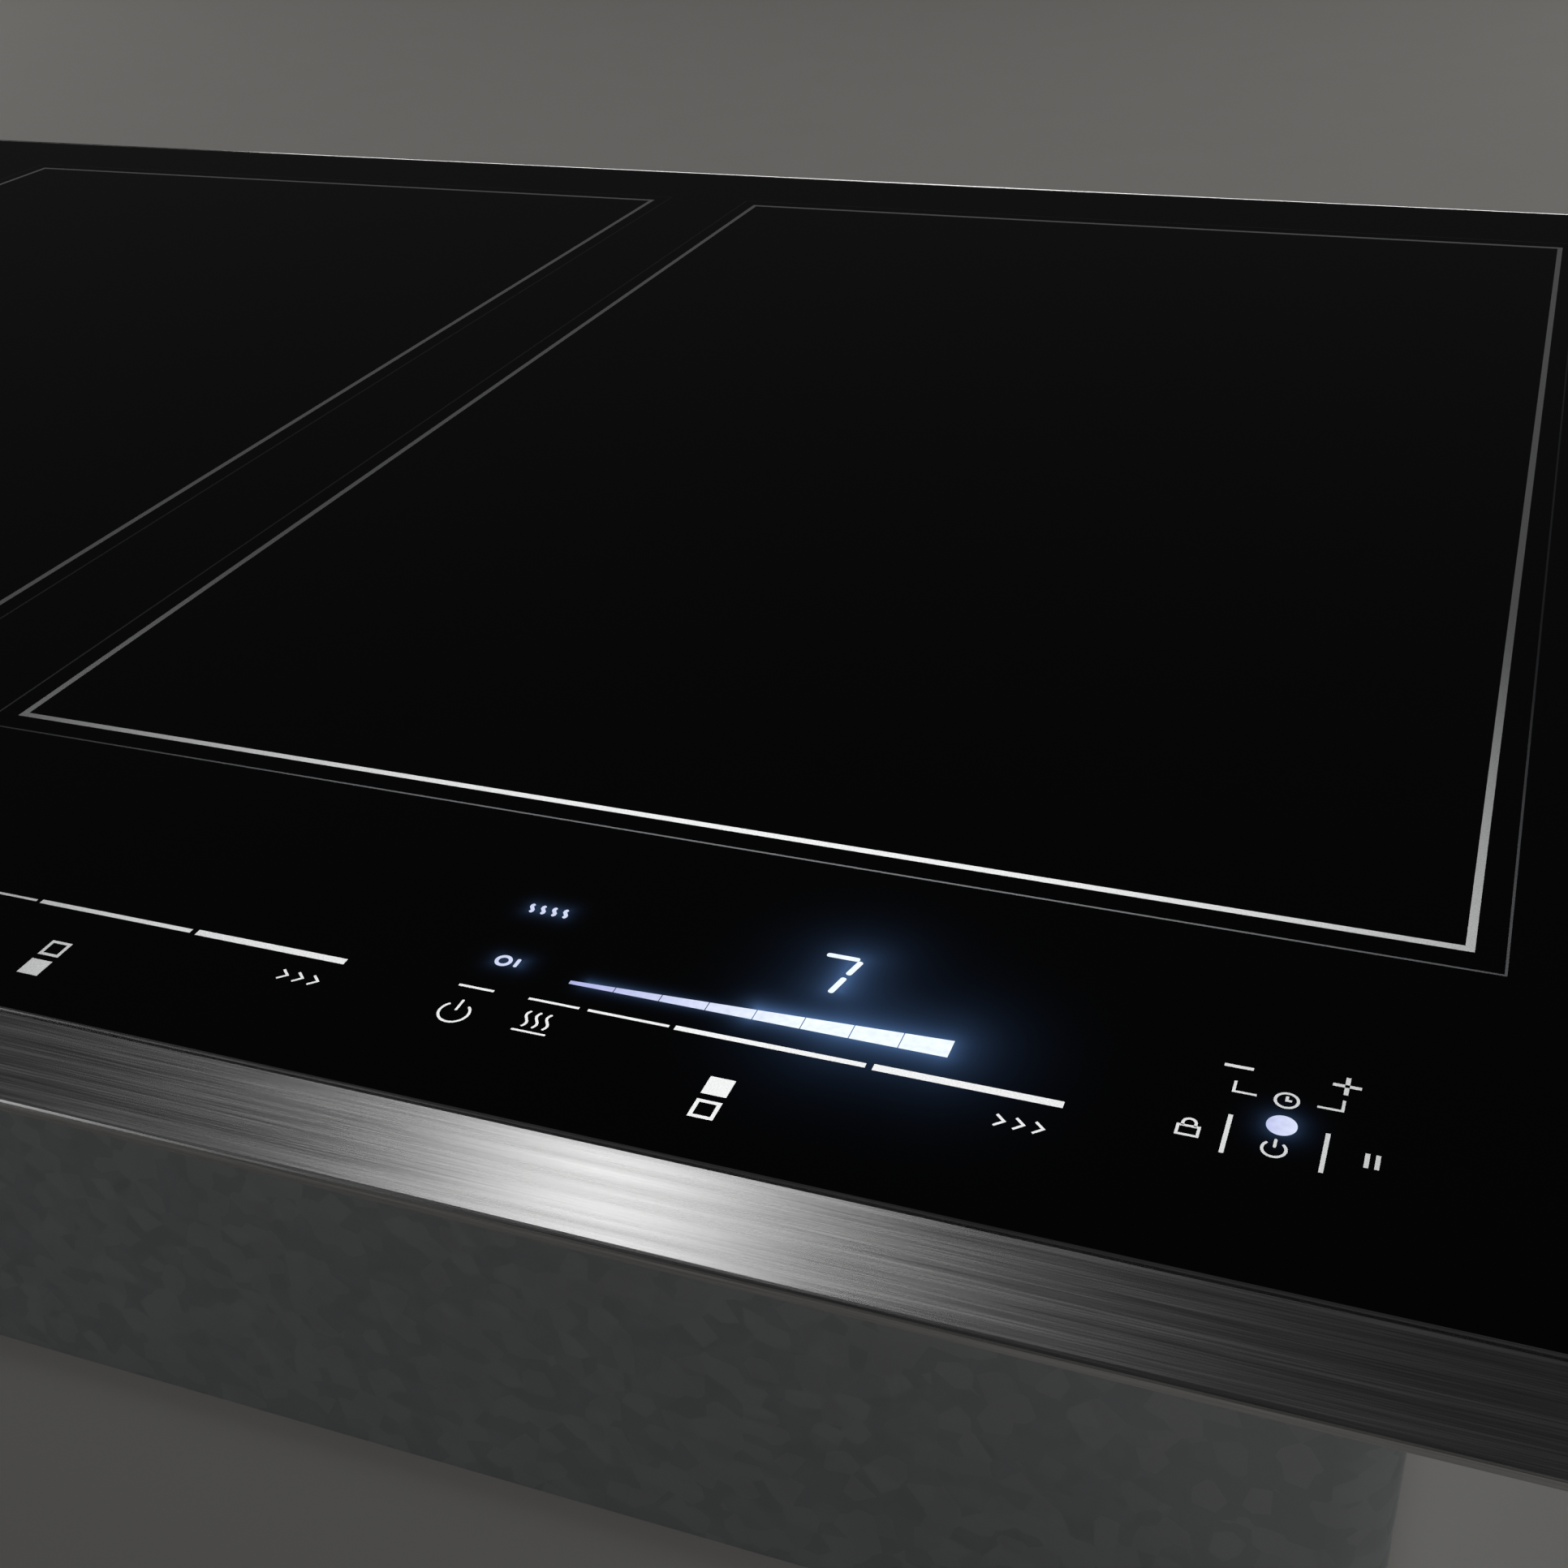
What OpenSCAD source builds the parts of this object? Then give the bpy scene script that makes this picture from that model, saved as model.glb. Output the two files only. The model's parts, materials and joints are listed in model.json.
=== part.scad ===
// Built-in electric induction cooktop, 36 inch class: a black ceramic glass between two brushed
// steel strips, over a burner box that holds five sprung coils, their electronics and two blowers.
// Origin: centre of the underside. X is the width, Y runs to the rear, Z is up.

/* [Overall] */
// Width of the glass and of the steel strips
overall_w = 914; // [880:1:1100]
// Depth over both steel strips
overall_d = 533; // [525:1:640]
// Height from the feet to the cooking surface
overall_h = 102; // [98:1:125]

/* [Glass] */
// Thickness of the ceramic glass
glass_t = 4; // [3:0.5:6]
// Ground edge on the two free sides of the glass
glass_arris = 0.6; // [0.3:0.1:1.2]
// Silicone layer between the glass and the flange
bond_t = 1; // [0.8:0.1:2]

/* [Steel strips] */
// Width of each steel strip, seen from above
strip_w = 13.4; // [11:0.1:20]
// Fall of the strip from the glass to its outer edge
strip_fall = 5; // [3:0.1:6]
// Wall of the strip
strip_wall = 1.4; // [1:0.1:2]
// Width of the lip beside the glass
lip_w = 0.7; // [0.4:0.1:1.2]
// Height of the lip above the glass
lip_rise = 0.2; // [0:0.1:0.5]
// Width of the groove between the lip and the face
groove_w = 0.5; // [0.3:0.1:1]
// Depth of that groove
groove_depth = 0.6; // [0.3:0.1:1]
// Reach of the tongue under the glass
tongue_reach = 8; // [5:0.5:12]

/* [Support frame] */
// Glass that stands out past the burner box on each side
side_overhang = 19; // [17:0.5:26]
// Glass that stands out past the burner box at the front and rear
end_overhang = 16; // [14.5:0.5:22]
// Sheet of the support frame
frame_t = 1; // [0.8:0.1:2]
// Depth of the skirt that goes into the burner box
skirt_h = 26; // [24:1:30]
// Reach of the tabs that carry the coil deck
tab_reach = 16; // [12:1:24]
// Width of those tabs
tab_w = 26; // [18:1:40]

/* [Counter seal] */
// Foam tape between the flange and the counter
seal_t = 1.5; // [1:0.1:3]
// Width of the foam tape
seal_w = 8; // [6:0.5:9]
// Gap between the burner box and the cut-out's edge
cutout_gap = 5.5; // [3:0.5:6.5]

/* [Burner box] */
// Sheet of the burner box
pan_t = 1; // [0.8:0.1:2]
// Corner radius of the burner box
pan_r = 9; // [4:1:16]
// Height of the pressed feet
foot_h = 4; // [4:0.5:8]
// Radius of the pressed feet
foot_r = 13; // [8:1:20]
// Height of the stiffening ribs pressed into the floor
rib_h = 1.5; // [1:0.1:3]
// Width of an air slot
slot_w = 3.6; // [2.5:0.1:4]
// Height of an air slot
slot_h = 30; // [16:1:36]
// Slots in each group
slot_count = 12; // [6:1:16]

/* [Zones] */
// Glass between the outermost zone frame and the side of the glass
zone_margin = 20.5; // [12:0.5:40]
// Width of a zone frame
zone_w = 264.8; // [250:0.1:280]
// From the front edge of the glass to the front coils' centres
front_coil_y = 175.6; // [172:0.1:185]
// From the rear edge of the glass to the rear coils' centres
rear_coil_y = 136.6; // [132:0.1:145]

/* [Coils] */
// Radius of the winding on the four side coils
coil_r = 86; // [70:1:90]
// Radius of the winding on the middle coil
big_coil_r = 118; // [100:1:125]
// Inner radius of a winding
coil_bore_r = 24; // [18:1:30]
// Thickness of a winding
winding_t = 5; // [3:0.5:7]
// Mica pad on top of a winding
mica_t = 0.8; // [0.5:0.1:1.5]
// Plate of the coil carrier
carrier_t = 2.5; // [2:0.1:4]
// Rim of the coil carrier, outside the winding
carrier_rim = 2.2; // [1.5:0.1:4]
// Radius of the guide posts
post_r = 2.6; // [2:0.1:4]
// Radius of the holes through the carrier plate
carrier_hole_r = 7; // [4:0.5:8]
// Thickness of a ferrite bar
ferrite_t = 5; // [3:0.5:7]
// Width of a ferrite bar
ferrite_w = 14; // [8:0.5:18]
// Travel of a coil against its springs
coil_travel = 4; // [2:0.5:6]
// Mean radius of a spring
spring_r = 6.4; // [5.5:0.1:8]
// Wire radius of a spring
spring_wire = 0.6; // [0.4:0.05:0.9]
// Turns of a spring
spring_turns = 4; // [3:1:6]

/* [Coil deck] */
// Sheet of the coil deck
deck_t = 1.5; // [1:0.1:2.5]
// Underside of the coil deck above the burner box floor
deck_rise = 59; // [56:0.5:64]

/* [Controls] */
// Front to rear depth of the control tray
tray_d = 47; // [42:1:50]
// Wall and floor of the control tray
tray_t = 1.6; // [1.2:0.1:2.5]
// Height of the touch pads between the glass and the boards
pad_h = 3; // [2:0.1:5]
// Circuit board thickness, on every board
board_t = 1.6; // [1:0.1:2]
// Radius of a touch pad
pad_r = 2.5; // [1.5:0.1:3.5]
// Spacing of the touch pads in one slider
pad_pitch = 10; // [8:0.5:12]

/* [Power electronics] */
// Width of a power board
power_w = 190; // [160:1:200]
// Depth of a power board
power_d = 150; // [130:1:170]
// Gap from the burner box wall to a power board
power_gap = 26; // [15:1:40]
// Distance of the power boards and blowers in front of the middle
power_front = 30; // [0:1:60]
// Height of the boards above the burner box floor
board_rise = 8; // [6:0.5:12]
// Length of a heat sink
sink_l = 130; // [100:1:145]
// Width of a heat sink
sink_w = 62; // [40:1:70]
// Height of a heat sink
sink_h = 36; // [25:1:38]
// Base of a heat sink
sink_base = 6; // [4:0.5:9]
// Fin thickness
fin_t = 1.8; // [1.2:0.1:2.5]
// Number of fins
fin_count = 11; // [7:1:12]
// Width of the filter board
filter_w = 150; // [130:1:170]
// Depth of the filter board
filter_d = 96; // [90:1:110]

/* [Blowers] */
// Outer radius of the blower wheel
wheel_r = 36; // [28:1:44]
// Height of the blower wheel
wheel_h = 22; // [16:1:24]
// Number of blades
blade_count = 24; // [16:1:32]
// Gap between the wheel and its housing
wheel_gap = 3; // [2:0.5:5]
// Wall of the blower housing
housing_wall = 2; // [1.5:0.1:3]
// Radius of the blower shaft
shaft_r = 1.5; // [1:0.1:2.5]
// Running clearance of the shaft
shaft_fit = 0.05; // [0.02:0.01:0.1]
// Gap between a blower and its power board
blower_gap = 6; // [3:1:20]

/* [Supply entry] */
// Radius of the socket that takes the conduit
conduit_r = 11.4; // [8:0.1:13]
// Length of that socket
conduit_socket = 14; // [10:1:16]
// Thread radius of the conduit connector
entry_thread_r = 10.3; // [8:0.1:12]
// Height of the entry above the burner box floor
entry_rise = 21; // [19:0.5:30]
// From the right wall of the burner box to the entry
entry_inset = 100; // [70:1:160]

/* [Hold-down clamps] */
// Width of a clamp bracket, front to rear
clamp_w = 30; // [20:1:50]
// Sheet of the bracket
clamp_t = 2; // [1.5:0.1:3]
// Height of the bracket's shelf above the feet
clamp_z = 31; // [28:1:40]
// Radius of the clamp screw
clamp_screw_r = 3; // [2:0.1:4]
// Length of the clamp screw's shank
clamp_screw_l = 45; // [35:1:50]
// Travel of the clamp screw
clamp_travel = 22; // [10:1:22]
// Height of the clamp screw's head
clamp_head_h = 4.5; // [3:0.1:5]

// Distance of the clamps behind the middle
clamp_y = 95; // [60:1:140]

/* [Fasteners] */
// Radius of a sheet metal screw
screw_r = 1.8; // [1.2:0.1:2.2]
// Head radius of a sheet metal screw
head_r = 3.6; // [3:0.1:4.5]
// Head height of a sheet metal screw
head_h = 1.8; // [1:0.1:2.4]
// Clearance of a screw or pin in its hole
screw_fit = 0.2; // [0.1:0.05:0.4]

/* [Hidden] */
$fn = 48;

// Clearance that a cut needs beyond the solid it goes through
past = 1;
// Gap kept between pieces that move against each other
air = 0.3;

// Heights, from the glass down
glass_z = overall_h - glass_t;
flange_top = glass_z - bond_t;
flange_z = flange_top - frame_t;
counter_z = flange_z - seal_t;
skirt_z = flange_top - skirt_h;
floor_under = foot_h;
floor_z = foot_h + pan_t;
pan_top = flange_z - 0.4;
deck_z = floor_z + deck_rise;
deck_top = deck_z + deck_t;
board_z = floor_z + board_rise;
mica_z = glass_z - air - mica_t;
winding_z = mica_z - winding_t;
carrier_z = winding_z - carrier_t;

// Plan sizes
glass_d = overall_d - 2 * strip_w;
box_w = overall_w - 2 * side_overhang;
box_d = glass_d - 2 * end_overhang;
skirt_gap = 0.2;
skirt_w = box_w - 2 * (pan_t + skirt_gap);
skirt_d = box_d - 2 * (pan_t + skirt_gap);
flange_edge = 1.3;
flange_w = overall_w - 2 * flange_edge;
flange_d = glass_d - 2 * flange_edge;
bond_edge = 4;
seal_in_w = box_w + 2 * cutout_gap;
seal_in_d = box_d + 2 * cutout_gap;
seal_in_r = 6;

// Coil places: [name, x, y, winding radius, ferrite bars]
column_x = overall_w / 2 - zone_margin - zone_w / 2;
front_y = front_coil_y - glass_d / 2;
rear_y = glass_d / 2 - rear_coil_y;
COILS = [
    ["coil_left_front", -column_x, front_y, coil_r, 6],
    ["coil_left_rear", -column_x, rear_y, coil_r, 6],
    ["coil_middle", 0, (front_y + rear_y) / 2, big_coil_r, 9],
    ["coil_right_front", column_x, front_y, coil_r, 6],
    ["coil_right_rear", column_x, rear_y, coil_r, 6]
];
post_angles = [0, 120, 240];
function post_place(bars) = 180 / bars;
function post_ring(r) = r * 0.72;
post_collar_r = post_r + 1.2;
post_hole_r = post_r + air;
post_below = 4;
tail_w = 6;
lead_r = 1.4;
lead_hole_r = 5;

// Control strip
tray_front = -skirt_d / 2 + frame_t + 1;
tray_w = skirt_w - 2 * (frame_t + 1);
control_board_z = glass_z - pad_h - board_t;
tray_top = glass_z - 0.5;
tray_floor_z = control_board_z - 8;
tray_r = pan_r - pan_t;
tray_leg_x = [-0.45, -0.15, 0.15, 0.45];
tray_leg_r = 3.5;
board_ledge = 0.5;
board_split = 2;
control_split_x = 130;
slider_y = 25.6 - glass_d / 2;
bar_guide_y = slider_y + 7.5;
bar_guide_w = 80;
bar_guide_d = 5;
bar_cell_w = 6;
bar_cell_d = 3;
bar_cell_pitch = 7.4;
digit_guide_y = slider_y + 18.4;
digit_guide_w = 22;
digit_guide_d = 7;
guide_gap = 0.2;
timer_key_x = 7;
timer_key_y = 14;
slider_offset = 56;
slider_shift = 19.5;
function slider_x() = [
    -column_x - slider_offset, -column_x + slider_offset, 0,
    column_x - slider_shift - slider_offset, column_x - slider_shift + slider_offset
];
key_x = [overall_w / 2 - zone_margin - 32, overall_w / 2 - zone_margin - 20.8,
         overall_w / 2 - zone_margin - 10];

// Electronics
power_x = box_w / 2 - power_gap - power_w / 2;
power_y = -power_front;
sink_x = power_x + (power_w - sink_l) / 2 - 12;
blower_r = wheel_r + wheel_gap + housing_wall;
blower_x = power_x - power_w / 2 - blower_gap - blower_r;
blower_z = floor_z;
wheel_z = blower_z + housing_wall + 2.5;
blower_h = 2 * housing_wall + wheel_h + 2 * 2.5;
inlet_r = wheel_r - 6;
grille_r = wheel_r + 12;
grille_t = 1.2;
grille_screw_angles = [0, 90, 180, 270];
grille_screw_ring = grille_r - 5;
part_z = board_z + board_t;
transistor_w = 16;
transistor_t = 5;
transistor_h = 21;
transistor_step = 28;
box_cap = [34, 18, 26];
filter_cap = [30, 15, 22];
round_cap_r = 11;
round_cap_h = 30;
choke_r = 11;
choke_core_r = 5;
lead_z = floor_z + 7;
hub_r = 13;
hub_h = wheel_h / 3;
disc_t = 1.6;
blade_l = 8;
blade_t = 1.2;
blade_turn = 25;
filter_x = 0;
filter_y = box_d / 2 - filter_d / 2 - 40;
stud_r = 3;
stud_pin_r = 1.5;
stud_inset = 8;
foot_inset = 26;
rib_l = 250;
rib_w = 10;

// Supply entry
entry_x = box_w / 2 - entry_inset;
entry_z = floor_z + entry_rise;
entry_wall_y = box_d / 2;
hex_r = conduit_r + 3;
cover_w = 96;
cover_d = 70;
cover_t = 1.2;
cover_x = entry_x;
cover_y = box_d / 2 - 60;
cover_lap = 8;
terminal_w = 54;
terminal_d = 24;
terminal_h = 20;
terminal_y = box_d / 2 - 108;
terminal_screw_r = 4;
terminal_bore_r = 2.6;

// Clamps
clamp_x = box_w / 2 + side_overhang / 2 + 2.5;
clamp_fit = 0.05;
clamp_leg_h = 24;
clamp_reach = side_overhang - 1.5;
screw_low = 2.5;

// Rows of screws
side_screw_l = 6;
pan_screw_z = skirt_z + 8;
pan_screw_x = [-0.42, -0.14, 0.14, 0.42];
pan_screw_y = [-0.3, 0.3];
deck_tab_x = [-0.4, -0.17, 0.17, 0.4];
deck_gap = 1.5;

// ---- Shapes used by several pieces ----

module slab(w, d, z0, z1) {
    translate([-w / 2, -d / 2, z0]) cube([w, d, z1 - z0]);
}

module rounded(w, d, r) {
    square([w - 2 * r, d], center = true);
    square([w, d - 2 * r], center = true);
    for (sx = [-1, 1], sy = [-1, 1])
        translate([sx * (w / 2 - r), sy * (d / 2 - r)]) circle(r);
}

module window_frame(w, d, w_in, d_in, r, z0, z1) {
    translate([0, 0, z0]) linear_extrude(z1 - z0) difference() {
        rounded(w, d, r);
        rounded(w_in, d_in, r);
    }
}

module post(x, y, z0, z1, r) {
    translate([x, y, z0]) cylinder(h = z1 - z0, r = r);
}

// A flat plate with rounded corners
module plate(w, d, r, z0, z1) {
    translate([0, 0, z0]) linear_extrude(z1 - z0) rounded(w, d, r);
}

// A pan head screw that points down, with its seat at z
module down_screw(x, y, z, l) {
    post(x, y, z, z + head_h, head_r);
    post(x, y, z - l, z, screw_r);
}

// A pan head screw that points up, with its seat at z
module up_screw(x, y, z, l) {
    post(x, y, z - head_h, z, head_r);
    post(x, y, z, z + l, screw_r);
}

// A coil spring on the Z axis: wire of five sides along a helix
module coil_spring(mean_r, wire_r, low, high, turns) {
    sides = 5;
    steps = turns * 8;
    points = [
        for (i = [0:steps], k = [0:sides - 1])
            let (a = 45 * i, out = mean_r + wire_r * cos(360 * k / sides))
                [out * cos(a), out * sin(a), low + (high - low) * i / steps + wire_r * sin(360 * k / sides)]
    ];
    walls = [
        for (i = [0:steps - 1], k = [0:sides - 1])
            let (n = (k + 1) % sides, a = i * sides, b = a + sides)
                each [[a + k, b + n, a + n], [a + k, b + k, b + n]]
    ];
    start = [for (k = [0:sides - 1]) k];
    end = [for (k = [sides - 1:-1:0]) steps * sides + k];
    polyhedron(points = points, faces = concat([start], walls, [end]), convexity = 4);
}

// A lead along a list of points, with a ball at each bend
module lead(path, r) {
    for (i = [0:len(path) - 2]) {
        run = path[i + 1] - path[i];
        translate(path[i]) rotate([0, acos(run[2] / norm(run)), atan2(run[1], run[0])])
            cylinder(h = norm(run), r = r);
    }
    for (i = [1:len(path) - 2]) translate(path[i]) sphere(r * 1.02);
}

// ---- Top ----

module glass_top() {
    color("#111214")
    translate([0, glass_d / 2, 0]) rotate([90, 0, 0]) linear_extrude(glass_d) polygon([
        [-overall_w / 2 + glass_arris, glass_z], [overall_w / 2 - glass_arris, glass_z],
        [overall_w / 2, glass_z + glass_arris], [overall_w / 2, overall_h - glass_arris],
        [overall_w / 2 - glass_arris, overall_h], [-overall_w / 2 + glass_arris, overall_h],
        [-overall_w / 2, overall_h - glass_arris], [-overall_w / 2, glass_z + glass_arris]
    ]);
}

// Section of a strip: the first value runs outwards from the glass edge, the second is the height
module strip_section() {
    lip_top = overall_h + lip_rise;
    lip_ease = lip_w / 4;
    nose_r = strip_wall;
    nose_z = overall_h - strip_fall - nose_r;
    foot_z = counter_z + air;
    face_in = lip_w + groove_w;
    polygon(concat(
        [
            [0, glass_z], [0, lip_top - lip_ease], [lip_ease, lip_top], [lip_w - lip_ease, lip_top],
            [lip_w, lip_top - lip_ease], [lip_w, overall_h - groove_depth],
            [face_in, overall_h - groove_depth], [face_in, overall_h]
        ],
        [for (a = [75:-15:0]) [strip_w + nose_r * (cos(a) - 1), nose_z + nose_r * sin(a)]],
        [
            [strip_w, foot_z], [strip_w - strip_wall, foot_z], [strip_w - strip_wall, nose_z],
            [face_in + strip_wall, overall_h - groove_depth - strip_wall],
            [strip_wall, overall_h - groove_depth - strip_wall], [strip_wall, flange_top],
            [-tongue_reach, flange_top], [-tongue_reach, glass_z]
        ]
    ));
}

module strip(side) {
    color("#b9babb")
    translate([-overall_w / 2, side * glass_d / 2, 0]) scale([1, side, 1])
        rotate([90, 0, 90]) linear_extrude(overall_w) strip_section();
}

module front_strip() {
    strip(-1);
}

module rear_strip() {
    strip(1);
}

module glass_adhesive() {
    color("#2a2a2a")
    window_frame(flange_w - bond_edge, glass_d - 2 * tongue_reach - 0.6,
        skirt_w + 1, skirt_d + 1, 4, flange_top, glass_z);
}

module counter_seal() {
    color("#3a3a3c")
    window_frame(seal_in_w + 2 * seal_w, seal_in_d + 2 * min(seal_w, flange_d / 2 - seal_in_d / 2),
        seal_in_w, seal_in_d, seal_in_r, counter_z, flange_z);
}

// ---- Frame and burner box ----

function deck_tabs() = concat(
    [for (u = deck_tab_x, s = [-1, 1]) [u * skirt_w, s * skirt_d / 2, s < 0 ? 0 : 180]],
    [for (s = [-1, 1]) [s * skirt_w / 2, 0, s < 0 ? -90 : 90]]
);

module deck_tab() {
    translate([-tab_w / 2, 0, deck_z - frame_t]) {
        cube([tab_w, frame_t, skirt_z - deck_z + frame_t + past]);
        cube([tab_w, tab_reach, frame_t]);
    }
}

module support_frame() {
    color("#8f9397")
    difference() {
        union() {
            window_frame(flange_w, flange_d, skirt_w - 2 * frame_t, skirt_d - 2 * frame_t,
                pan_r - pan_t, flange_z, flange_top);
            window_frame(skirt_w, skirt_d, skirt_w - 2 * frame_t, skirt_d - 2 * frame_t,
                pan_r - pan_t, skirt_z, flange_z);
            for (p = deck_tabs())
                translate([p[0], p[1], 0]) rotate([0, 0, p[2]]) deck_tab();
        }
        pan_screw_places() translate([0, 0, -past]) cylinder(h = 12, r = screw_r + screw_fit / 2);
        for (p = deck_tabs())
            translate([p[0], p[1], 0]) rotate([0, 0, p[2]])
                post(0, tab_reach / 2 + 2, deck_z - 5, deck_z + past, screw_r + screw_fit / 2);
    }
}

// Runs its children at each side screw, with +Z pointing into the box from the wall's outside
module pan_screw_places() {
    for (u = pan_screw_x, s = [-1, 1])
        translate([u * box_w, s * box_d / 2, pan_screw_z]) rotate([s * 90, 0, 0]) children();
    for (v = pan_screw_y, s = [-1, 1])
        translate([s * box_w / 2, v * box_d, pan_screw_z]) rotate([0, -s * 90, 0]) children();
}

module pan_screws() {
    color("#c9ccd0")
    pan_screw_places() {
        translate([0, 0, -head_h]) cylinder(h = head_h, r = head_r);
        cylinder(h = side_screw_l, r = screw_r);
    }
}

function board_corners(x, y, w, d) = [
    for (sx = [-1, 1], sy = [-1, 1]) [x + sx * (w / 2 - stud_inset), y + sy * (d / 2 - stud_inset)]
];
function board_studs() = concat(
    board_corners(-power_x, power_y, power_w, power_d),
    board_corners(power_x, power_y, power_w, power_d),
    board_corners(filter_x, filter_y, filter_w, filter_d)
);
function feet() = [
    for (sx = [-1, 1], sy = [-1, 1])
        [sx * (box_w / 2 - foot_inset), sy * (box_d / 2 - foot_inset)]
];
function cover_holes() = [
    for (sx = [-1, 1], sy = [-1, 1])
        [cover_x + sx * (cover_w / 2 - 5), cover_y + sy * (cover_d / 2 - 4)]
];
function grille_holes() = [
    for (s = [-1, 1], a = grille_screw_angles)
        [s * blower_x + grille_screw_ring * cos(a), power_y + grille_screw_ring * sin(a)]
];

// Vertical air slots in a wall, centred at x, cutting along +Y
module wall_slots() {
    step = slot_w * 2.2;
    for (i = [0:slot_count - 1])
        translate([(i - (slot_count - 1) / 2) * step - slot_w / 2, -past, 0])
            cube([slot_w, 2 * past + pan_t, slot_h]);
}

module base_pan() {
    color("#9a9ea3")
    difference() {
        union() {
            difference() {
                translate([0, 0, floor_under]) linear_extrude(pan_top - floor_under)
                    rounded(box_w, box_d, pan_r);
                translate([0, 0, floor_z]) linear_extrude(pan_top)
                    rounded(box_w - 2 * pan_t, box_d - 2 * pan_t, pan_r - pan_t);
            }
            for (p = feet()) post(p[0], p[1], 0, floor_under, foot_r);
            for (p = board_studs()) {
                post(p[0], p[1], floor_z, board_z, stud_r);
                post(p[0], p[1], board_z, board_z + board_t + 1, stud_pin_r);
            }
            for (s = [-1, 1])
                translate([s * box_w / 5, -box_d / 2 + 34, 0])
                    slab(rib_l, rib_w, floor_z, floor_z + rib_h);
        }
        for (p = feet()) post(p[0], p[1], pan_t, floor_z + past, foot_r - pan_t);
        for (s = [-1, 1]) {
            translate([s * box_w / 5, -box_d / 2 + 34, 0])
                slab(rib_l - 2 * pan_t, rib_w - 2 * pan_t, floor_under - past, floor_under + rib_h);
            post(s * blower_x, power_y, floor_under - past, floor_z + past, inlet_r + 2);
            translate([s * box_w / 2, power_y, floor_z + 8])
                rotate([0, 0, s * 90]) wall_slots();
            translate([s * box_w / 4, box_d / 2 - pan_t, floor_z + 8]) wall_slots();
        }
        translate([cover_x, cover_y, 0])
            slab(cover_w - 2 * cover_lap, cover_d - 2 * cover_lap, floor_under - past, floor_z + past);
        for (p = concat(cover_holes(), grille_holes()))
            post(p[0], p[1], floor_under - past, floor_z + past, screw_r + screw_fit / 2);
        translate([entry_x, entry_wall_y + past, entry_z]) rotate([90, 0, 0])
            cylinder(h = pan_t + 2 * past, r = entry_thread_r + screw_fit);
        pan_screw_places() translate([0, 0, -past]) cylinder(h = 4, r = screw_r + screw_fit);
        bracket_screw_places() translate([0, 0, -past]) cylinder(h = 5, r = screw_r + screw_fit);
    }
}

module intake_grilles() {
    color("#3c3f43")
    for (s = [-1, 1])
        translate([s * blower_x, power_y, floor_under - grille_t]) linear_extrude(grille_t)
            difference() {
                circle(grille_r);
                intersection() {
                    circle(inlet_r);
                    for (i = [-9:9])
                        translate([-inlet_r, i * slot_w * 1.7 - slot_w / 2])
                            square([2 * inlet_r, slot_w]);
                }
                for (a = grille_screw_angles)
                    translate([grille_screw_ring * cos(a), grille_screw_ring * sin(a)])
                        circle(screw_r + screw_fit);
            }
}

module terminal_cover() {
    color("#a4a8ac")
    difference() {
        translate([cover_x, cover_y, 0])
            slab(cover_w, cover_d, floor_under - cover_t, floor_under);
        for (p = cover_holes())
            post(p[0], p[1], floor_under - cover_t - past, floor_z, screw_r + screw_fit);
    }
}

module cover_screws() {
    color("#c9ccd0") {
        for (p = cover_holes()) up_screw(p[0], p[1], floor_under - cover_t, 6);
        for (p = grille_holes()) up_screw(p[0], p[1], floor_under - grille_t, 6);
    }
}

// ---- Supply entry ----

module conduit_connector() {
    color("#b4b6b8")
    translate([entry_x, entry_wall_y, entry_z]) rotate([-90, 0, 0]) difference() {
        union() {
            cylinder(h = 6, r = hex_r + 1.6, $fn = 6);
            cylinder(h = conduit_socket + 5, r = conduit_r + 2);
            translate([0, 0, -pan_t - 8]) cylinder(h = pan_t + 9, r = entry_thread_r);
        }
        translate([0, 0, 5]) cylinder(h = conduit_socket + past, r = conduit_r);
        translate([0, 0, -pan_t - 8 - past]) cylinder(h = 30, r = conduit_r - 3.4);
    }
}

module conduit_locknut() {
    color("#c2b280")
    translate([entry_x, entry_wall_y - pan_t, entry_z]) rotate([90, 0, 0]) difference() {
        cylinder(h = 4, r = hex_r + 1, $fn = 8);
        translate([0, 0, -past]) cylinder(h = 4 + 2 * past, r = entry_thread_r + shaft_fit);
    }
}

module terminal_block() {
    color("#d8d4c8")
    difference() {
        translate([entry_x, terminal_y, 0]) slab(terminal_w, terminal_d, floor_z, floor_z + terminal_h);
        for (i = [-1:1]) {
            post(entry_x + i * terminal_w / 3, terminal_y, floor_z + terminal_h - 7,
                floor_z + terminal_h + past, terminal_screw_r);
            translate([entry_x + i * terminal_w / 3, terminal_y + terminal_d / 2 + past, lead_z])
                rotate([90, 0, 0]) cylinder(h = terminal_d + 2 * past, r = terminal_bore_r);
        }
    }
}

// ---- Clamps ----

module clamp_brackets() {
    color("#8d9195")
    for (s = [-1, 1]) difference() {
        scale([s, 1, 1]) translate([box_w / 2, clamp_y - clamp_w / 2, 0]) {
            translate([0, 0, clamp_z]) cube([clamp_reach, clamp_w, clamp_t]);
            translate([0, 0, clamp_z]) cube([clamp_t, clamp_w, clamp_leg_h]);
        }
        post(s * clamp_x, clamp_y, clamp_z - past, clamp_z + clamp_t + past, clamp_screw_r + clamp_fit);
        bracket_screw_places() translate([0, 0, -clamp_t - past])
            cylinder(h = 5, r = screw_r + screw_fit);
    }
}

module bracket_screw_places() {
    for (s = [-1, 1], v = [-1, 1])
        translate([s * box_w / 2, clamp_y + v * clamp_w / 4, clamp_z + clamp_leg_h * 0.65])
            rotate([0, -s * 90, 0]) children();
}

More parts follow.
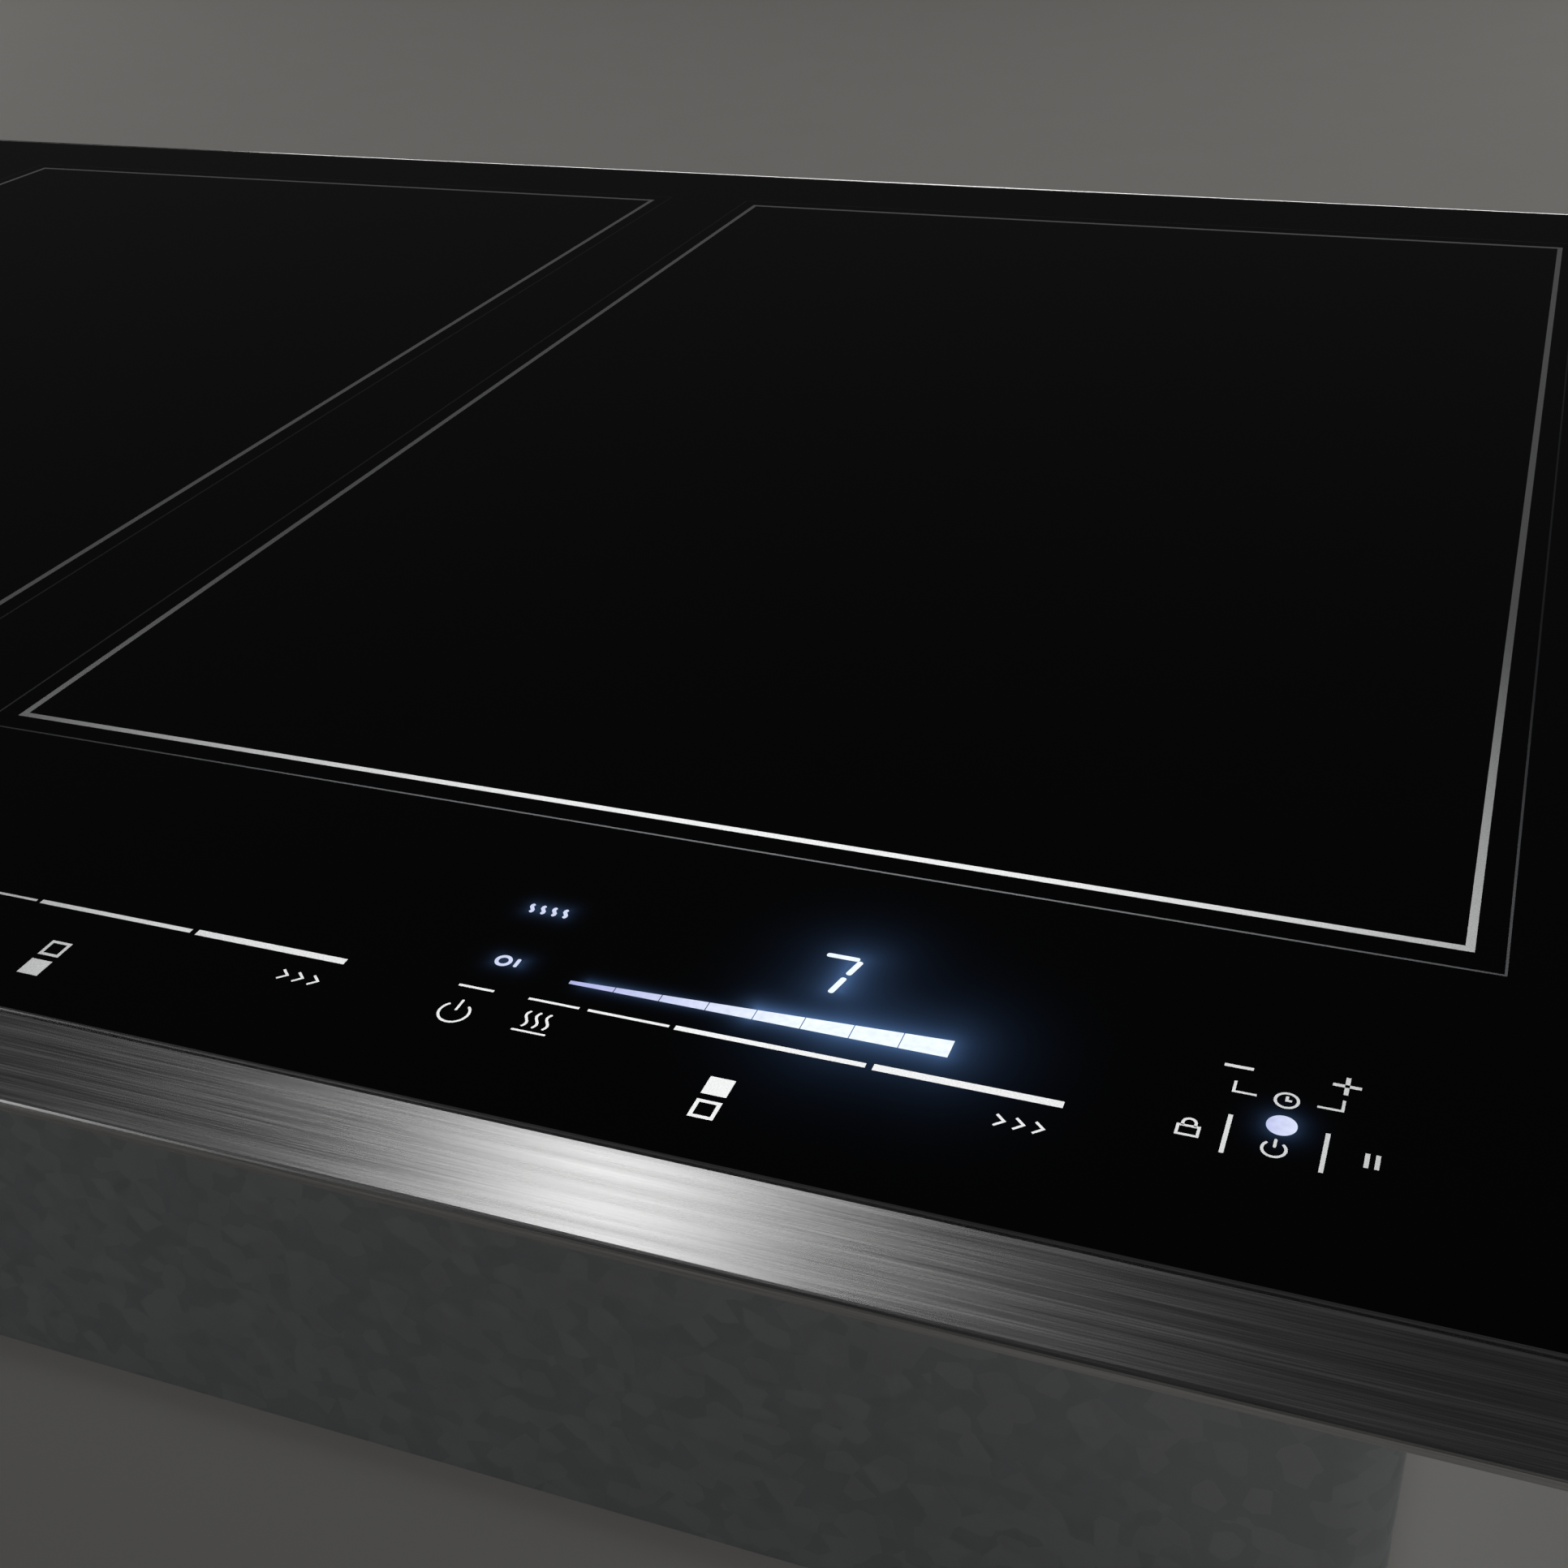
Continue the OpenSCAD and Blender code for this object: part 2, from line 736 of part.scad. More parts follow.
module bracket_screws() {
    color("#c9ccd0")
    bracket_screw_places() {
        translate([0, 0, -clamp_t - head_h]) cylinder(h = head_h, r = head_r);
        translate([0, 0, -clamp_t]) cylinder(h = side_screw_l, r = screw_r);
    }
}

module clamp_screw(s) {
    color("#c9ccd0") {
        translate([s * clamp_x, clamp_y, screw_low])
            cylinder(h = clamp_head_h, r = clamp_screw_r * 1.9, $fn = 6);
        post(s * clamp_x, clamp_y, screw_low, screw_low + clamp_head_h + clamp_screw_l, clamp_screw_r);
    }
}

// ---- Coil deck and coils ----

module coil_deck() {
    color("#b8bcc0")
    difference() {
        slab(skirt_w - 2 * (frame_t + deck_gap), skirt_d - 2 * (frame_t + deck_gap), deck_z, deck_top);
        for (c = COILS) {
            at_posts(c) cylinder(h = 3 * deck_t, r = post_hole_r, center = true);
            for (k = [-1, 1])
                post(c[1] + k * tail_w, c[2] - c[3] - 8, deck_z - past, deck_top + past, lead_hole_r / 2);
        }
        for (p = deck_tabs())
            translate([p[0], p[1], 0]) rotate([0, 0, p[2]])
                post(0, tab_reach / 2 + 2, deck_z - past, deck_top + past, screw_r + screw_fit);
    }
}

module deck_screws() {
    color("#c9ccd0")
    for (p = deck_tabs())
        translate([p[0], p[1], 0]) rotate([0, 0, p[2]])
            down_screw(0, tab_reach / 2 + 2, deck_top, 6);
}

// Runs its children at a coil's guide posts, at the deck's middle height
module at_posts(c) {
    for (a = post_angles)
        translate([
            c[1] + post_ring(c[3]) * cos(a + post_place(c[4])),
            c[2] + post_ring(c[3]) * sin(a + post_place(c[4])),
            deck_z + deck_t / 2
        ]) children();
}

module carrier(c) {
    rim_r = c[3] + carrier_rim + 0.4;
    color("#d9d5c9")
    difference() {
        union() {
            post(c[1], c[2], carrier_z, winding_z, rim_r);
            difference() {
                post(c[1], c[2], winding_z, winding_z + winding_t - 1, rim_r);
                post(c[1], c[2], winding_z - past, winding_z + winding_t, c[3] + 0.4);
            }
            post(c[1], c[2], winding_z, winding_z + winding_t - 1, coil_bore_r - 0.4);
            at_posts(c) {
                translate([0, 0, -deck_t / 2 - post_below])
                    cylinder(h = carrier_z - deck_z + post_below + past, r = post_r);
                translate([0, 0, deck_t / 2 + coil_travel + air])
                    cylinder(h = carrier_z - deck_top - coil_travel, r = post_collar_r);
            }
        }
        post(c[1], c[2], carrier_z - past, winding_z + winding_t + past, coil_bore_r - 6);
        for (i = [0:c[4] - 1]) {
            a = post_place(c[4]) + i * 360 / c[4];
            r = (coil_bore_r + c[3] * 0.55) / 2;
            post(c[1] + r * cos(a), c[2] + r * sin(a), carrier_z - past, winding_z + past, carrier_hole_r);
        }
    }
}

module winding(c) {
    color("#a8652f")
    translate([c[1], c[2], winding_z]) difference() {
        cylinder(h = winding_t, r = c[3]);
        translate([0, 0, -past]) cylinder(h = winding_t + 2 * past, r = coil_bore_r);
    }
}

module ferrites(c) {
    color("#35363a")
    for (i = [0:c[4] - 1])
        translate([c[1], c[2], 0]) rotate([0, 0, i * 360 / c[4]])
            translate([coil_bore_r + 2, -ferrite_w / 2, carrier_z - ferrite_t])
                cube([c[3] - coil_bore_r - 6, ferrite_w, ferrite_t]);
}

module mica(c) {
    color("#c9b98a")
    translate([c[1], c[2], mica_z]) difference() {
        cylinder(h = mica_t, r = c[3] + 1);
        translate([0, 0, -past]) cylinder(h = mica_t + 2 * past, r = coil_bore_r - 6);
    }
}

module springs(c) {
    ease = spring_wire + 0.05;
    color("#c4c7ca")
    at_posts(c) translate([0, 0, -deck_z - deck_t / 2])
        coil_spring(spring_r, spring_wire, deck_top + ease, carrier_z - ease, spring_turns);
}

// ---- Controls ----

module control_tray() {
    w = tray_w - 2 * tray_t;
    d = tray_d - 2 * tray_t;
    step = board_ledge + air;
    color("#e3e3df")
    translate([0, tray_front + tray_d / 2, 0]) difference() {
        union() {
            plate(tray_w, tray_d, tray_r, tray_floor_z, tray_top);
            for (u = tray_leg_x, s = [-1, 1])
                post(u * tray_w, s * tray_d / 4, deck_top, tray_floor_z + past, tray_leg_r);
        }
        plate(w, d, tray_r - tray_t, tray_floor_z + tray_t, control_board_z);
        plate(w + 2 * step, d + 2 * step, tray_r - tray_t + step, control_board_z, tray_top + past);
    }
}

module control_boards() {
    w = tray_w - 2 * (tray_t - board_ledge);
    d = tray_d - 2 * (tray_t - board_ledge);
    color("#1f6b3a")
    translate([0, tray_front + tray_d / 2, 0]) difference() {
        plate(w, d, tray_r - tray_t + board_ledge, control_board_z, control_board_z + board_t);
        translate([control_split_x, 0, 0])
            slab(board_split, d + 2, control_board_z - past, control_board_z + board_t + past);
    }
}

module light_guides() {
    low = control_board_z + board_t;
    color("#f0f0ea")
    for (x = slider_x()) {
        translate([x, bar_guide_y, 0]) difference() {
            slab(bar_guide_w, bar_guide_d, low, glass_z - guide_gap);
            for (i = [-4.5:4.5])
                translate([i * bar_cell_pitch, 0, 0]) slab(bar_cell_w, bar_cell_d, low - past, glass_z);
        }
        translate([x, digit_guide_y, 0]) difference() {
            slab(digit_guide_w, digit_guide_d, low, glass_z - guide_gap);
            slab(digit_guide_w - 4, digit_guide_d - 3, low - past, glass_z);
        }
    }
}

module touch_pads() {
    z = control_board_z + board_t;
    color("#6f7276") {
        for (x = slider_x(), i = [-4:4]) post(x + i * pad_pitch, slider_y, z, glass_z, pad_r);
        for (x = key_x) post(x, slider_y + 1, z, glass_z, pad_r);
        for (k = [-1, 1]) post(key_x[1] + k * timer_key_x, slider_y + timer_key_y, z, glass_z, pad_r);
    }
}

// ---- Electronics ----

module drilled_board(x, y, w, d) {
    difference() {
        translate([x, y, 0]) slab(w, d, board_z, board_z + board_t);
        for (p = board_corners(x, y, w, d))
            post(p[0], p[1], board_z - past, board_z + board_t + past, stud_pin_r + screw_fit);
    }
}

module power_boards() {
    color("#2a7a45")
    for (s = [-1, 1]) drilled_board(s * power_x, power_y, power_w, power_d);
}

module heat_sinks() {
    fin_step = (sink_w - fin_t) / (fin_count - 1);
    color("#c0c4c8")
    for (s = [-1, 1]) translate([s * sink_x, power_y, 0]) {
        slab(sink_l, sink_w, part_z, part_z + sink_base);
        for (i = [0:fin_count - 1])
            translate([0, (i - (fin_count - 1) / 2) * fin_step, 0])
                slab(sink_l, fin_t, part_z + sink_base, part_z + sink_h);
    }
}

module transistors() {
    color("#2b2c30")
    for (s = [-1, 1], i = [-1.5:1.5])
        translate([s * sink_x + i * transistor_step, power_y - (sink_w + transistor_t) / 2, 0])
            slab(transistor_w, transistor_t, part_z + 3, part_z + 3 + transistor_h);
}

module capacitors() {
    color("#c9a23a") {
        for (s = [-1, 1]) {
            for (k = [-1, 1])
                translate([s * sink_x + k * 26, power_y + sink_w / 2 + 19, 0])
                    slab(box_cap[0], box_cap[1], part_z, part_z + box_cap[2]);
            post(s * (power_x - power_w / 2 + 22), power_y - power_d / 2 + 26,
                part_z, part_z + round_cap_h, round_cap_r);
        }
        for (k = [-1, 1])
            translate([filter_x + k * filter_w * 0.29, filter_y + filter_d * 0.23, 0])
                slab(filter_cap[0], filter_cap[1], part_z, part_z + filter_cap[2]);
    }
}

module chokes() {
    spots = concat(
        [for (s = [-1, 1]) [s * (sink_x + 30), power_y - power_d / 2 + choke_r + choke_core_r + 4]],
        [for (s = [-1, 1]) [filter_x + s * 22, filter_y - 22]]
    );
    color("#b0702e")
    for (p = spots)
        translate([p[0], p[1], part_z + choke_core_r + 1])
            rotate_extrude() translate([choke_r, 0]) circle(choke_core_r);
}

module filter_board() {
    color("#2a7a45") drilled_board(filter_x, filter_y, filter_w, filter_d);
}

// ---- Blowers ----

module blower_housing(s) {
    h = blower_h;
    duct = wheel_r + wheel_gap;
    color("#1d1e20")
    translate([s * blower_x, power_y, blower_z]) difference() {
        union() {
            cylinder(h = h, r = blower_r);
            scale([s, 1, 1]) translate([0, -blower_r, 0]) cube([blower_r, blower_r + 6, h]);
        }
        translate([0, 0, housing_wall]) {
            difference() {
                union() {
                    cylinder(h = h - 2 * housing_wall, r = duct);
                    scale([s, 1, 1]) translate([0, -duct, 0])
                        cube([blower_r + past, duct + 6 - housing_wall, h - 2 * housing_wall]);
                }
                translate([0, 0, h - 2 * housing_wall - 6]) cylinder(h = 6 + past, r = 8);
                cylinder(h = h, r = shaft_r);
            }
        }
        translate([0, 0, -past]) cylinder(h = housing_wall + 2 * past, r = inlet_r);
    }
}

module blower_wheel(s) {
    color("#2c2e31")
    translate([s * blower_x, power_y, wheel_z]) difference() {
        union() {
            cylinder(h = hub_h, r = hub_r);
            translate([0, 0, hub_h - 1]) cylinder(h = disc_t, r = wheel_r - 1);
            for (i = [0:blade_count - 1]) rotate([0, 0, i * 360 / blade_count])
                translate([wheel_r - blade_l, -blade_t / 2, 0]) rotate([0, 0, blade_turn])
                    cube([blade_l, blade_t, wheel_h / 1.1]);
            difference() {
                cylinder(h = 2, r = wheel_r);
                translate([0, 0, -past]) cylinder(h = 2 + 2 * past, r = wheel_r - 5);
            }
        }
        translate([0, 0, -past]) cylinder(h = wheel_h + 2 * past, r = shaft_r + shaft_fit);
    }
}

// ---- Wiring ----

module wiring() {
    color("#b03030") {
        for (i = [-1:1])
            lead([
                [entry_x + i * terminal_w / 3, terminal_y - terminal_d / 2 - 0.5, lead_z],
                [entry_x + i * terminal_w / 3, terminal_y - terminal_d / 2 - 6, lead_z],
                [entry_x + i * 5 - 10, terminal_y - terminal_d / 2 - 14, lead_z],
                [filter_x + filter_w / 2 + 30, filter_y + i * 5 + 6, lead_z],
                [filter_x + filter_w / 2 + 10, filter_y + i * 8, lead_z + 8],
                [filter_x + filter_w / 2 - 6, filter_y + i * 10, part_z + 8],
                [filter_x + filter_w / 2 - 9, filter_y + i * 10, part_z + 1.6],
                [filter_x + filter_w / 2 - 9, filter_y + i * 10, part_z + 0.2]
            ], lead_r);
        for (c = COILS, k = [-1, 1])
            lead([
                [c[1] + k * tail_w, c[2] - c[3] - 8, deck_z - 14],
                [c[1] + k * tail_w, c[2] - c[3] - 8, deck_top + 6],
                [c[1] + k * tail_w, c[2] - c[3] - 6, winding_z - coil_travel - 4]
            ], lead_r);
    }
}

glass_top();
front_strip();
rear_strip();
glass_adhesive();
counter_seal();
support_frame();
base_pan();
pan_screws();
intake_grilles();
terminal_cover();
cover_screws();
conduit_connector();
conduit_locknut();
terminal_block();
clamp_brackets();
bracket_screws();
clamp_screw(-1);  // clamp_screw_left
clamp_screw(1);  // clamp_screw_right
coil_deck();
deck_screws();
control_tray();
control_boards();
light_guides();
touch_pads();
power_boards();
heat_sinks();
transistors();
capacitors();
chokes();
filter_board();
blower_housing(-1);  // blower_left_housing
blower_wheel(-1);  // blower_left_wheel
blower_housing(1);  // blower_right_housing
blower_wheel(1);  // blower_right_wheel
wiring();
for (c = COILS) {
    carrier(c);
    winding(c);
    ferrites(c);
    mica(c);
    springs(c);
}
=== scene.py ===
"""The finishes, printed marks, lit display and fine hardware of a built-in induction cooktop.
"""

import json
from math import cos, pi, radians, sin
from random import Random

import bmesh
import bpy
from bpy.props import FloatProperty, FloatVectorProperty, IntProperty, PointerProperty
from mathutils import Matrix, Vector

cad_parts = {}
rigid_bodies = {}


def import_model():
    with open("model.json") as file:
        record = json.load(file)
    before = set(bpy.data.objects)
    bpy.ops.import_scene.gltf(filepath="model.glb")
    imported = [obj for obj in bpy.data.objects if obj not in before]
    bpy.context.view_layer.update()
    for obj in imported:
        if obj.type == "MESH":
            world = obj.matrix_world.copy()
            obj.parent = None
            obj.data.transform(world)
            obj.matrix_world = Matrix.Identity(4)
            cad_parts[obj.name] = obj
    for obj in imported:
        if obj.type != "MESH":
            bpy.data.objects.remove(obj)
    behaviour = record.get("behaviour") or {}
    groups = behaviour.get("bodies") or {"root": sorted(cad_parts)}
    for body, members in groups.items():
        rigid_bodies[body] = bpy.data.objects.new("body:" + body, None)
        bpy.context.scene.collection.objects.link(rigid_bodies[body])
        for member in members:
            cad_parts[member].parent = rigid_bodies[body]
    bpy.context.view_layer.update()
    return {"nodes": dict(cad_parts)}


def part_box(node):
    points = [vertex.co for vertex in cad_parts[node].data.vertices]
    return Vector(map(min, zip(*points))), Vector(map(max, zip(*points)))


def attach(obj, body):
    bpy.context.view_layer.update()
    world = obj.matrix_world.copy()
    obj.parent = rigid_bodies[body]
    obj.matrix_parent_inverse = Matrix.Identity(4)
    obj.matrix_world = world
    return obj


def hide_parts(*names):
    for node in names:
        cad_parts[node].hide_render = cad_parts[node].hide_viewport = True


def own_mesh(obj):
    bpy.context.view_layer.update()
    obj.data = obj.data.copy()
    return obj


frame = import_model()

bl_info = {
    "name": "Induction Cooktop",
    "version": (1, 0, 0),
    "blender": (4, 5, 0),
    "location": "View3D > Sidebar > Cooktop",
    "description": "Builds the looks of a built-in induction cooktop around its frame",
    "category": "Object",
}

MM = 0.001
ROOT = "cooktop"
GLASS_LOW, GLASS_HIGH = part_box("glass_top")
GLASS_TOP = GLASS_HIGH[2]
COIL_NAMES = ("coil_left_front", "coil_left_rear", "coil_middle", "coil_right_front", "coil_right_rear")


# ---------------------------------------------------------------- settings

class CooktopPrint(bpy.types.PropertyGroup):
    """Sizes of the marks that are fired onto the glass"""

    zone_w: FloatProperty(name="Zone width", description="Width of a zone frame, line centre to line centre",
                          default=264.8 * MM, unit="LENGTH")
    zone_d: FloatProperty(name="Zone depth", description="Depth of a zone frame, line centre to line centre",
                          default=388 * MM, unit="LENGTH")
    zone_front: FloatProperty(name="Zone front", default=78.7 * MM, unit="LENGTH",
                              description="From the front edge of the glass to the zone frames")
    zone_margin: FloatProperty(name="Zone margin", default=20.5 * MM, unit="LENGTH",
                               description="From the side of the glass to the outer zone frame")
    line_w: FloatProperty(name="Frame line", description="Width of a zone frame's line",
                          default=1.4 * MM, unit="LENGTH")
    outline_gap: FloatProperty(name="Outline gap", description="From a zone frame to the fine line around it",
                               default=5.35 * MM, unit="LENGTH")
    outline_w: FloatProperty(name="Outline", description="Width of the fine line around a zone frame",
                             default=0.4 * MM, unit="LENGTH")
    row_y: FloatProperty(name="Slider row", description="From the front edge of the glass to the sliders",
                         default=25.6 * MM, unit="LENGTH")
    ink_h: FloatProperty(name="Ink height", description="How far the fired ink stands above the glass",
                         default=0.03 * MM, unit="LENGTH")
    ink_colour: FloatVectorProperty(name="Ink", description="Colour of the fired ink", subtype="COLOR_GAMMA",
                                    default=(0.937, 0.941, 0.945), min=0, max=1)


class CooktopDisplay(bpy.types.PropertyGroup):
    """What is lit, and how strongly"""

    level: IntProperty(name="Level", description="Lit segments of the power bar", default=8, min=0, max=10)
    colour: FloatVectorProperty(name="Light", description="Colour of the lit signs", subtype="COLOR_GAMMA",
                                default=(0.93, 0.97, 1.0), min=0, max=1)
    bloom: FloatVectorProperty(name="Bloom", description="Colour of the light that spreads in the glass",
                               subtype="COLOR_GAMMA", default=(0.40, 0.56, 0.80), min=0, max=1)
    strength: FloatProperty(name="Strength", description="Brightness of the lit signs", default=1.1, min=0)
    edge: FloatVectorProperty(name="Weak light", subtype="COLOR_GAMMA", default=(0.76, 0.78, 1.0), min=0, max=1,
                              description="Colour of the signs and of the low end of the bar")


class CooktopStage(bpy.types.PropertyGroup):
    """Floor, lights and camera"""

    floor: FloatProperty(name="Floor", description="Side of the floor", default=9.0, unit="LENGTH")
    floor_colour: FloatVectorProperty(name="Floor colour", description="Colour of the floor",
                                      subtype="COLOR_GAMMA", default=(0.80, 0.79, 0.77), min=0, max=1)
    lens: FloatProperty(name="Lens", description="Focal length of the camera, in mm", default=45.3)
    camera_h: FloatProperty(name="Camera height", description="Height of the camera above the glass",
                            default=173.6 * MM, unit="LENGTH")
    camera_in: FloatProperty(name="Camera side", description="Camera's distance inside the right zone line",
                             default=4.7 * MM, unit="LENGTH")
    camera_out: FloatProperty(name="Camera front", description="Camera's distance before the glass",
                              default=180 * MM, unit="LENGTH")
    pitch: FloatProperty(name="Pitch", description="How far the camera looks down",
                         default=radians(30.34), subtype="ANGLE")
    yaw: FloatProperty(name="Yaw", description="How far the camera looks to the left",
                       default=radians(21.87), subtype="ANGLE")
    roll: FloatProperty(name="Roll", description="How far the camera leans",
                        default=radians(-2.75), subtype="ANGLE")


# ---------------------------------------------------------------- materials

def linear(hex_colour):
    """A linear colour from an sRGB hex value."""
    parts = [int(hex_colour[i:i + 2], 16) / 255 for i in (1, 3, 5)]
    return (*(c / 12.92 if c <= 0.04045 else ((c + 0.055) / 1.055) ** 2.4 for c in parts), 1.0)


def hex_of(colour):
    """The sRGB hex value of a colour setting."""
    return "#" + "".join(f"{round(c * 255):02x}" for c in colour[:3])


def add(tree, kind, inputs, **settings):
    """Adds one node with its settings, its input values and the links into it."""
    made = tree.nodes.new(kind)
    for name, value in settings.items():
        setattr(made, name, value)
    for name, value in inputs.items():
        if isinstance(value, bpy.types.NodeSocket):
            tree.links.new(value, made.inputs[name])
        else:
            made.inputs[name].default_value = value
    return made


def maths(tree, how, *values):
    """One step of arithmetic on numbers."""
    return add(tree, "ShaderNodeMath", dict(enumerate(values)), operation=how).outputs[0]


def vector_maths(tree, how, *values):
    """One step of arithmetic on vectors."""
    made = add(tree, "ShaderNodeVectorMath", dict(enumerate(values)), operation=how)
    return made.outputs["Value" if how == "LENGTH" else "Vector"]


def ranged(tree, value, to_low, to_high, low=0.0, high=1.0):
    """Maps a value from the range low to high onto another."""
    return add(tree, "ShaderNodeMapRange", {"Value": value, "From Min": low, "From Max": high,
                                            "To Min": to_low, "To Max": to_high}).outputs["Result"]


def noise(tree, place, size, detail, roughness=0.5):
    """Cloudy noise whose patches have one real size."""
    return add(tree, "ShaderNodeTexNoise", {"Vector": place, "Scale": 1 / size, "Detail": detail,
                                            "Roughness": roughness}).outputs["Fac"]


def cells(tree, place, size):
    """Patches of one real size, each with chance values of its own in red, green and blue."""
    made = add(tree, "ShaderNodeTexVoronoi", {"Vector": place, "Scale": 1 / size})
    return add(tree, "ShaderNodeSeparateColor", {"Color": made.outputs["Color"]}).outputs


def stretched(tree, place, stretch):
    """The same coordinates, drawn out where stretch is below 1."""
    return add(tree, "ShaderNodeMapping", {"Vector": place, "Scale": stretch}).outputs["Vector"]


def start_finish(name, colour, metallic=0.0, roughness=0.5, ior=None):
    """A material with its shader; returns the material, its tree, its shader and its Object coordinates."""
    made = bpy.data.materials.new(name)
    made.use_nodes = True
    tree = made.node_tree
    shader = tree.nodes["Principled BSDF"]
    shader.inputs["Base Color"].default_value = linear(colour)
    shader.inputs["Metallic"].default_value = metallic
    shader.inputs["Roughness"].default_value = roughness
    if ior:
        shader.inputs["IOR"].default_value = ior
    made.diffuse_color = linear(colour)
    return made, tree, shader, add(tree, "ShaderNodeTexCoord", {}).outputs["Object"]


def mottle(tree, shader, place, size, low, high, detail=3.0):
    """Varies the roughness between low and high, in patches of one real size."""
    fac = noise(tree, place, size, detail)
    tree.links.new(ranged(tree, fac, low, high, 0.3, 0.7), shader.inputs["Roughness"])
    return fac


def tint(tree, shader, fac, dark, light, socket="Base Color", start=0.35, end=0.65):
    """Varies the colour between two hex values."""
    ramp = add(tree, "ShaderNodeValToRGB", {"Fac": fac})
    for stop, position, colour in zip(ramp.color_ramp.elements, (start, end), (dark, light)):
        stop.position = position
        stop.color = linear(colour)
    tree.links.new(ramp.outputs["Color"], shader.inputs[socket])


def relief(tree, shader, height, depth, strength=1.0):
    """Raises the surface by depth metres where height is 1."""
    bump = add(tree, "ShaderNodeBump", {"Height": height, "Distance": depth, "Strength": strength})
    tree.links.new(bump.outputs["Normal"], shader.inputs["Normal"])


def grained(name, dark, light, rough, grain, depth=0.0, strength=0.5, detail=3.0, stretch=(1, 1, 1), **shading):
    """A finish whose gloss, tone and relief vary together, over a grain of one real size."""
    made, tree, shader, place = start_finish(name, light, **shading)
    fac = mottle(tree, shader, stretched(tree, place, stretch), grain, *rough, detail=detail)
    tint(tree, shader, fac, dark, light)
    if depth:
        relief(tree, shader, fac, depth, strength)
    return made


def polished_ceramic_glass():
    """Glass ceramic, rolled and polished: near black all through, so only its mirror gloss shows, with
    the faint unevenness of wiped glass, and light from the display that spreads inside it."""
    made, tree, shader, place = start_finish("polished_ceramic_glass", "#050507", ior=1.54)
    mottle(tree, shader, place, 60 * MM, 0.015, 0.05, detail=2.0)
    total = 0.0
    for low, high, weight, reach in lit_areas():
        centre = ((low[0] + high[0]) / 2, (low[1] + high[1]) / 2, GLASS_TOP)
        half = ((high[0] - low[0]) / 2, (high[1] - low[1]) / 2, 1.0)
        away = vector_maths(tree, "ABSOLUTE", vector_maths(tree, "SUBTRACT", place, centre))
        outside = vector_maths(tree, "MAXIMUM", vector_maths(tree, "SUBTRACT", away, half), (0, 0, 0))
        distance = vector_maths(tree, "LENGTH", outside)
        fade = maths(tree, "EXPONENT", maths(tree, "MULTIPLY", distance, -1 / (reach * MM)))
        total = maths(tree, "ADD", total, maths(tree, "MULTIPLY", fade, weight))
    tree.links.new(total, shader.inputs["Emission Strength"])
    shader.inputs["Emission Color"].default_value = linear(hex_of(bpy.context.scene.cooktop_display.bloom))
    return made


def brushed_stainless_steel():
    """Stainless steel, brushed along X with a fine belt: long thin scratches that smear every highlight
    across the strip, neutral grey."""
    made, tree, shader, place = start_finish("brushed_stainless_steel", "#c0c0c0", metallic=1.0)
    place = stretched(tree, place, (0.008, 1, 1))
    # Scratches are some 0.05 mm wide; they are drawn 0.2 mm wide, which is as fine as a render shows.
    fine = noise(tree, place, 0.2 * MM, 3.0, roughness=0.6)
    both = maths(tree, "ADD", fine, noise(tree, place, 1.4 * MM, 2.0))
    tree.links.new(ranged(tree, both, 0.2, 0.3, 0.7, 1.3), shader.inputs["Roughness"])
    tint(tree, shader, fine, "#b4b4b4", "#cccccc")
    relief(tree, shader, fine, 0.012 * MM, 0.35)
    return made


def galvanised_sheet(name="galvanised_steel_sheet", light="#b4b8bb", dark="#abafb3"):
    """Hot-dip galvanised steel sheet, pressed: dull silver with a faint crystal spangle about 4 mm across."""
    made, tree, shader, place = start_finish(name, light, metallic=1.0)
    spangle = cells(tree, place, 4 * MM)
    tree.links.new(ranged(tree, spangle["Red"], 0.4, 0.5), shader.inputs["Roughness"])
    tint(tree, shader, spangle["Green"], dark, light)
    relief(tree, shader, noise(tree, place, 1.5 * MM, 3.0), 0.02 * MM, 0.4)
    return made


def mill_aluminium(name="mill_finish_aluminium", light="#c9cccf", dark="#b4b8bc", stretch=(0.05, 1, 1)):
    """Aluminium as rolled or extruded: bright, with faint lines along the way it was drawn."""
    return grained(name, dark, light, (0.28, 0.44), 1.2 * MM, 0.02 * MM, 0.4, stretch=stretch, metallic=1.0)


def bright_metal(name="zinc_plated_steel", light="#cfd2d6", dark="#b3b8c0"):
    """Plated, passivated, drawn or enamelled metal: bright, in one colour with a soft unevenness."""
    return grained(name, dark, light, (0.2, 0.38), 1.5 * MM, metallic=1.0)


def die_cast_zinc():
    """Zinc die casting, as cast: grey with a fine pebbled skin."""
    return grained("die_cast_zinc", "#a9abad", "#a9abad", (0.38, 0.55), 0.8 * MM, 0.05 * MM, 0.6, metallic=1.0)


def powder_coat():
    """Steel with a baked powder coat: matt, with a fine orange peel."""
    return grained("black_powder_coat", "#17181a", "#222326", (0.42, 0.58), 0.9 * MM, 0.05 * MM, ior=1.5)


def rubbery(name, colour, light, grain, depth):
    """Silicone, foam tape or lead jacket: matt and soft, with open grain of one real size."""
    return grained(name, colour, light, (0.7, 0.92), grain, depth, 0.7, ior=1.43)


def moulded_plastic(name, colour, light, roughness=0.5):
    """Plastic, resin or coated powder, shaped in a spark-eroded tool: even and finely grained."""
    return grained(name, colour, light, (roughness - 0.08, roughness + 0.1), 0.6 * MM, 0.02 * MM, ior=1.5)


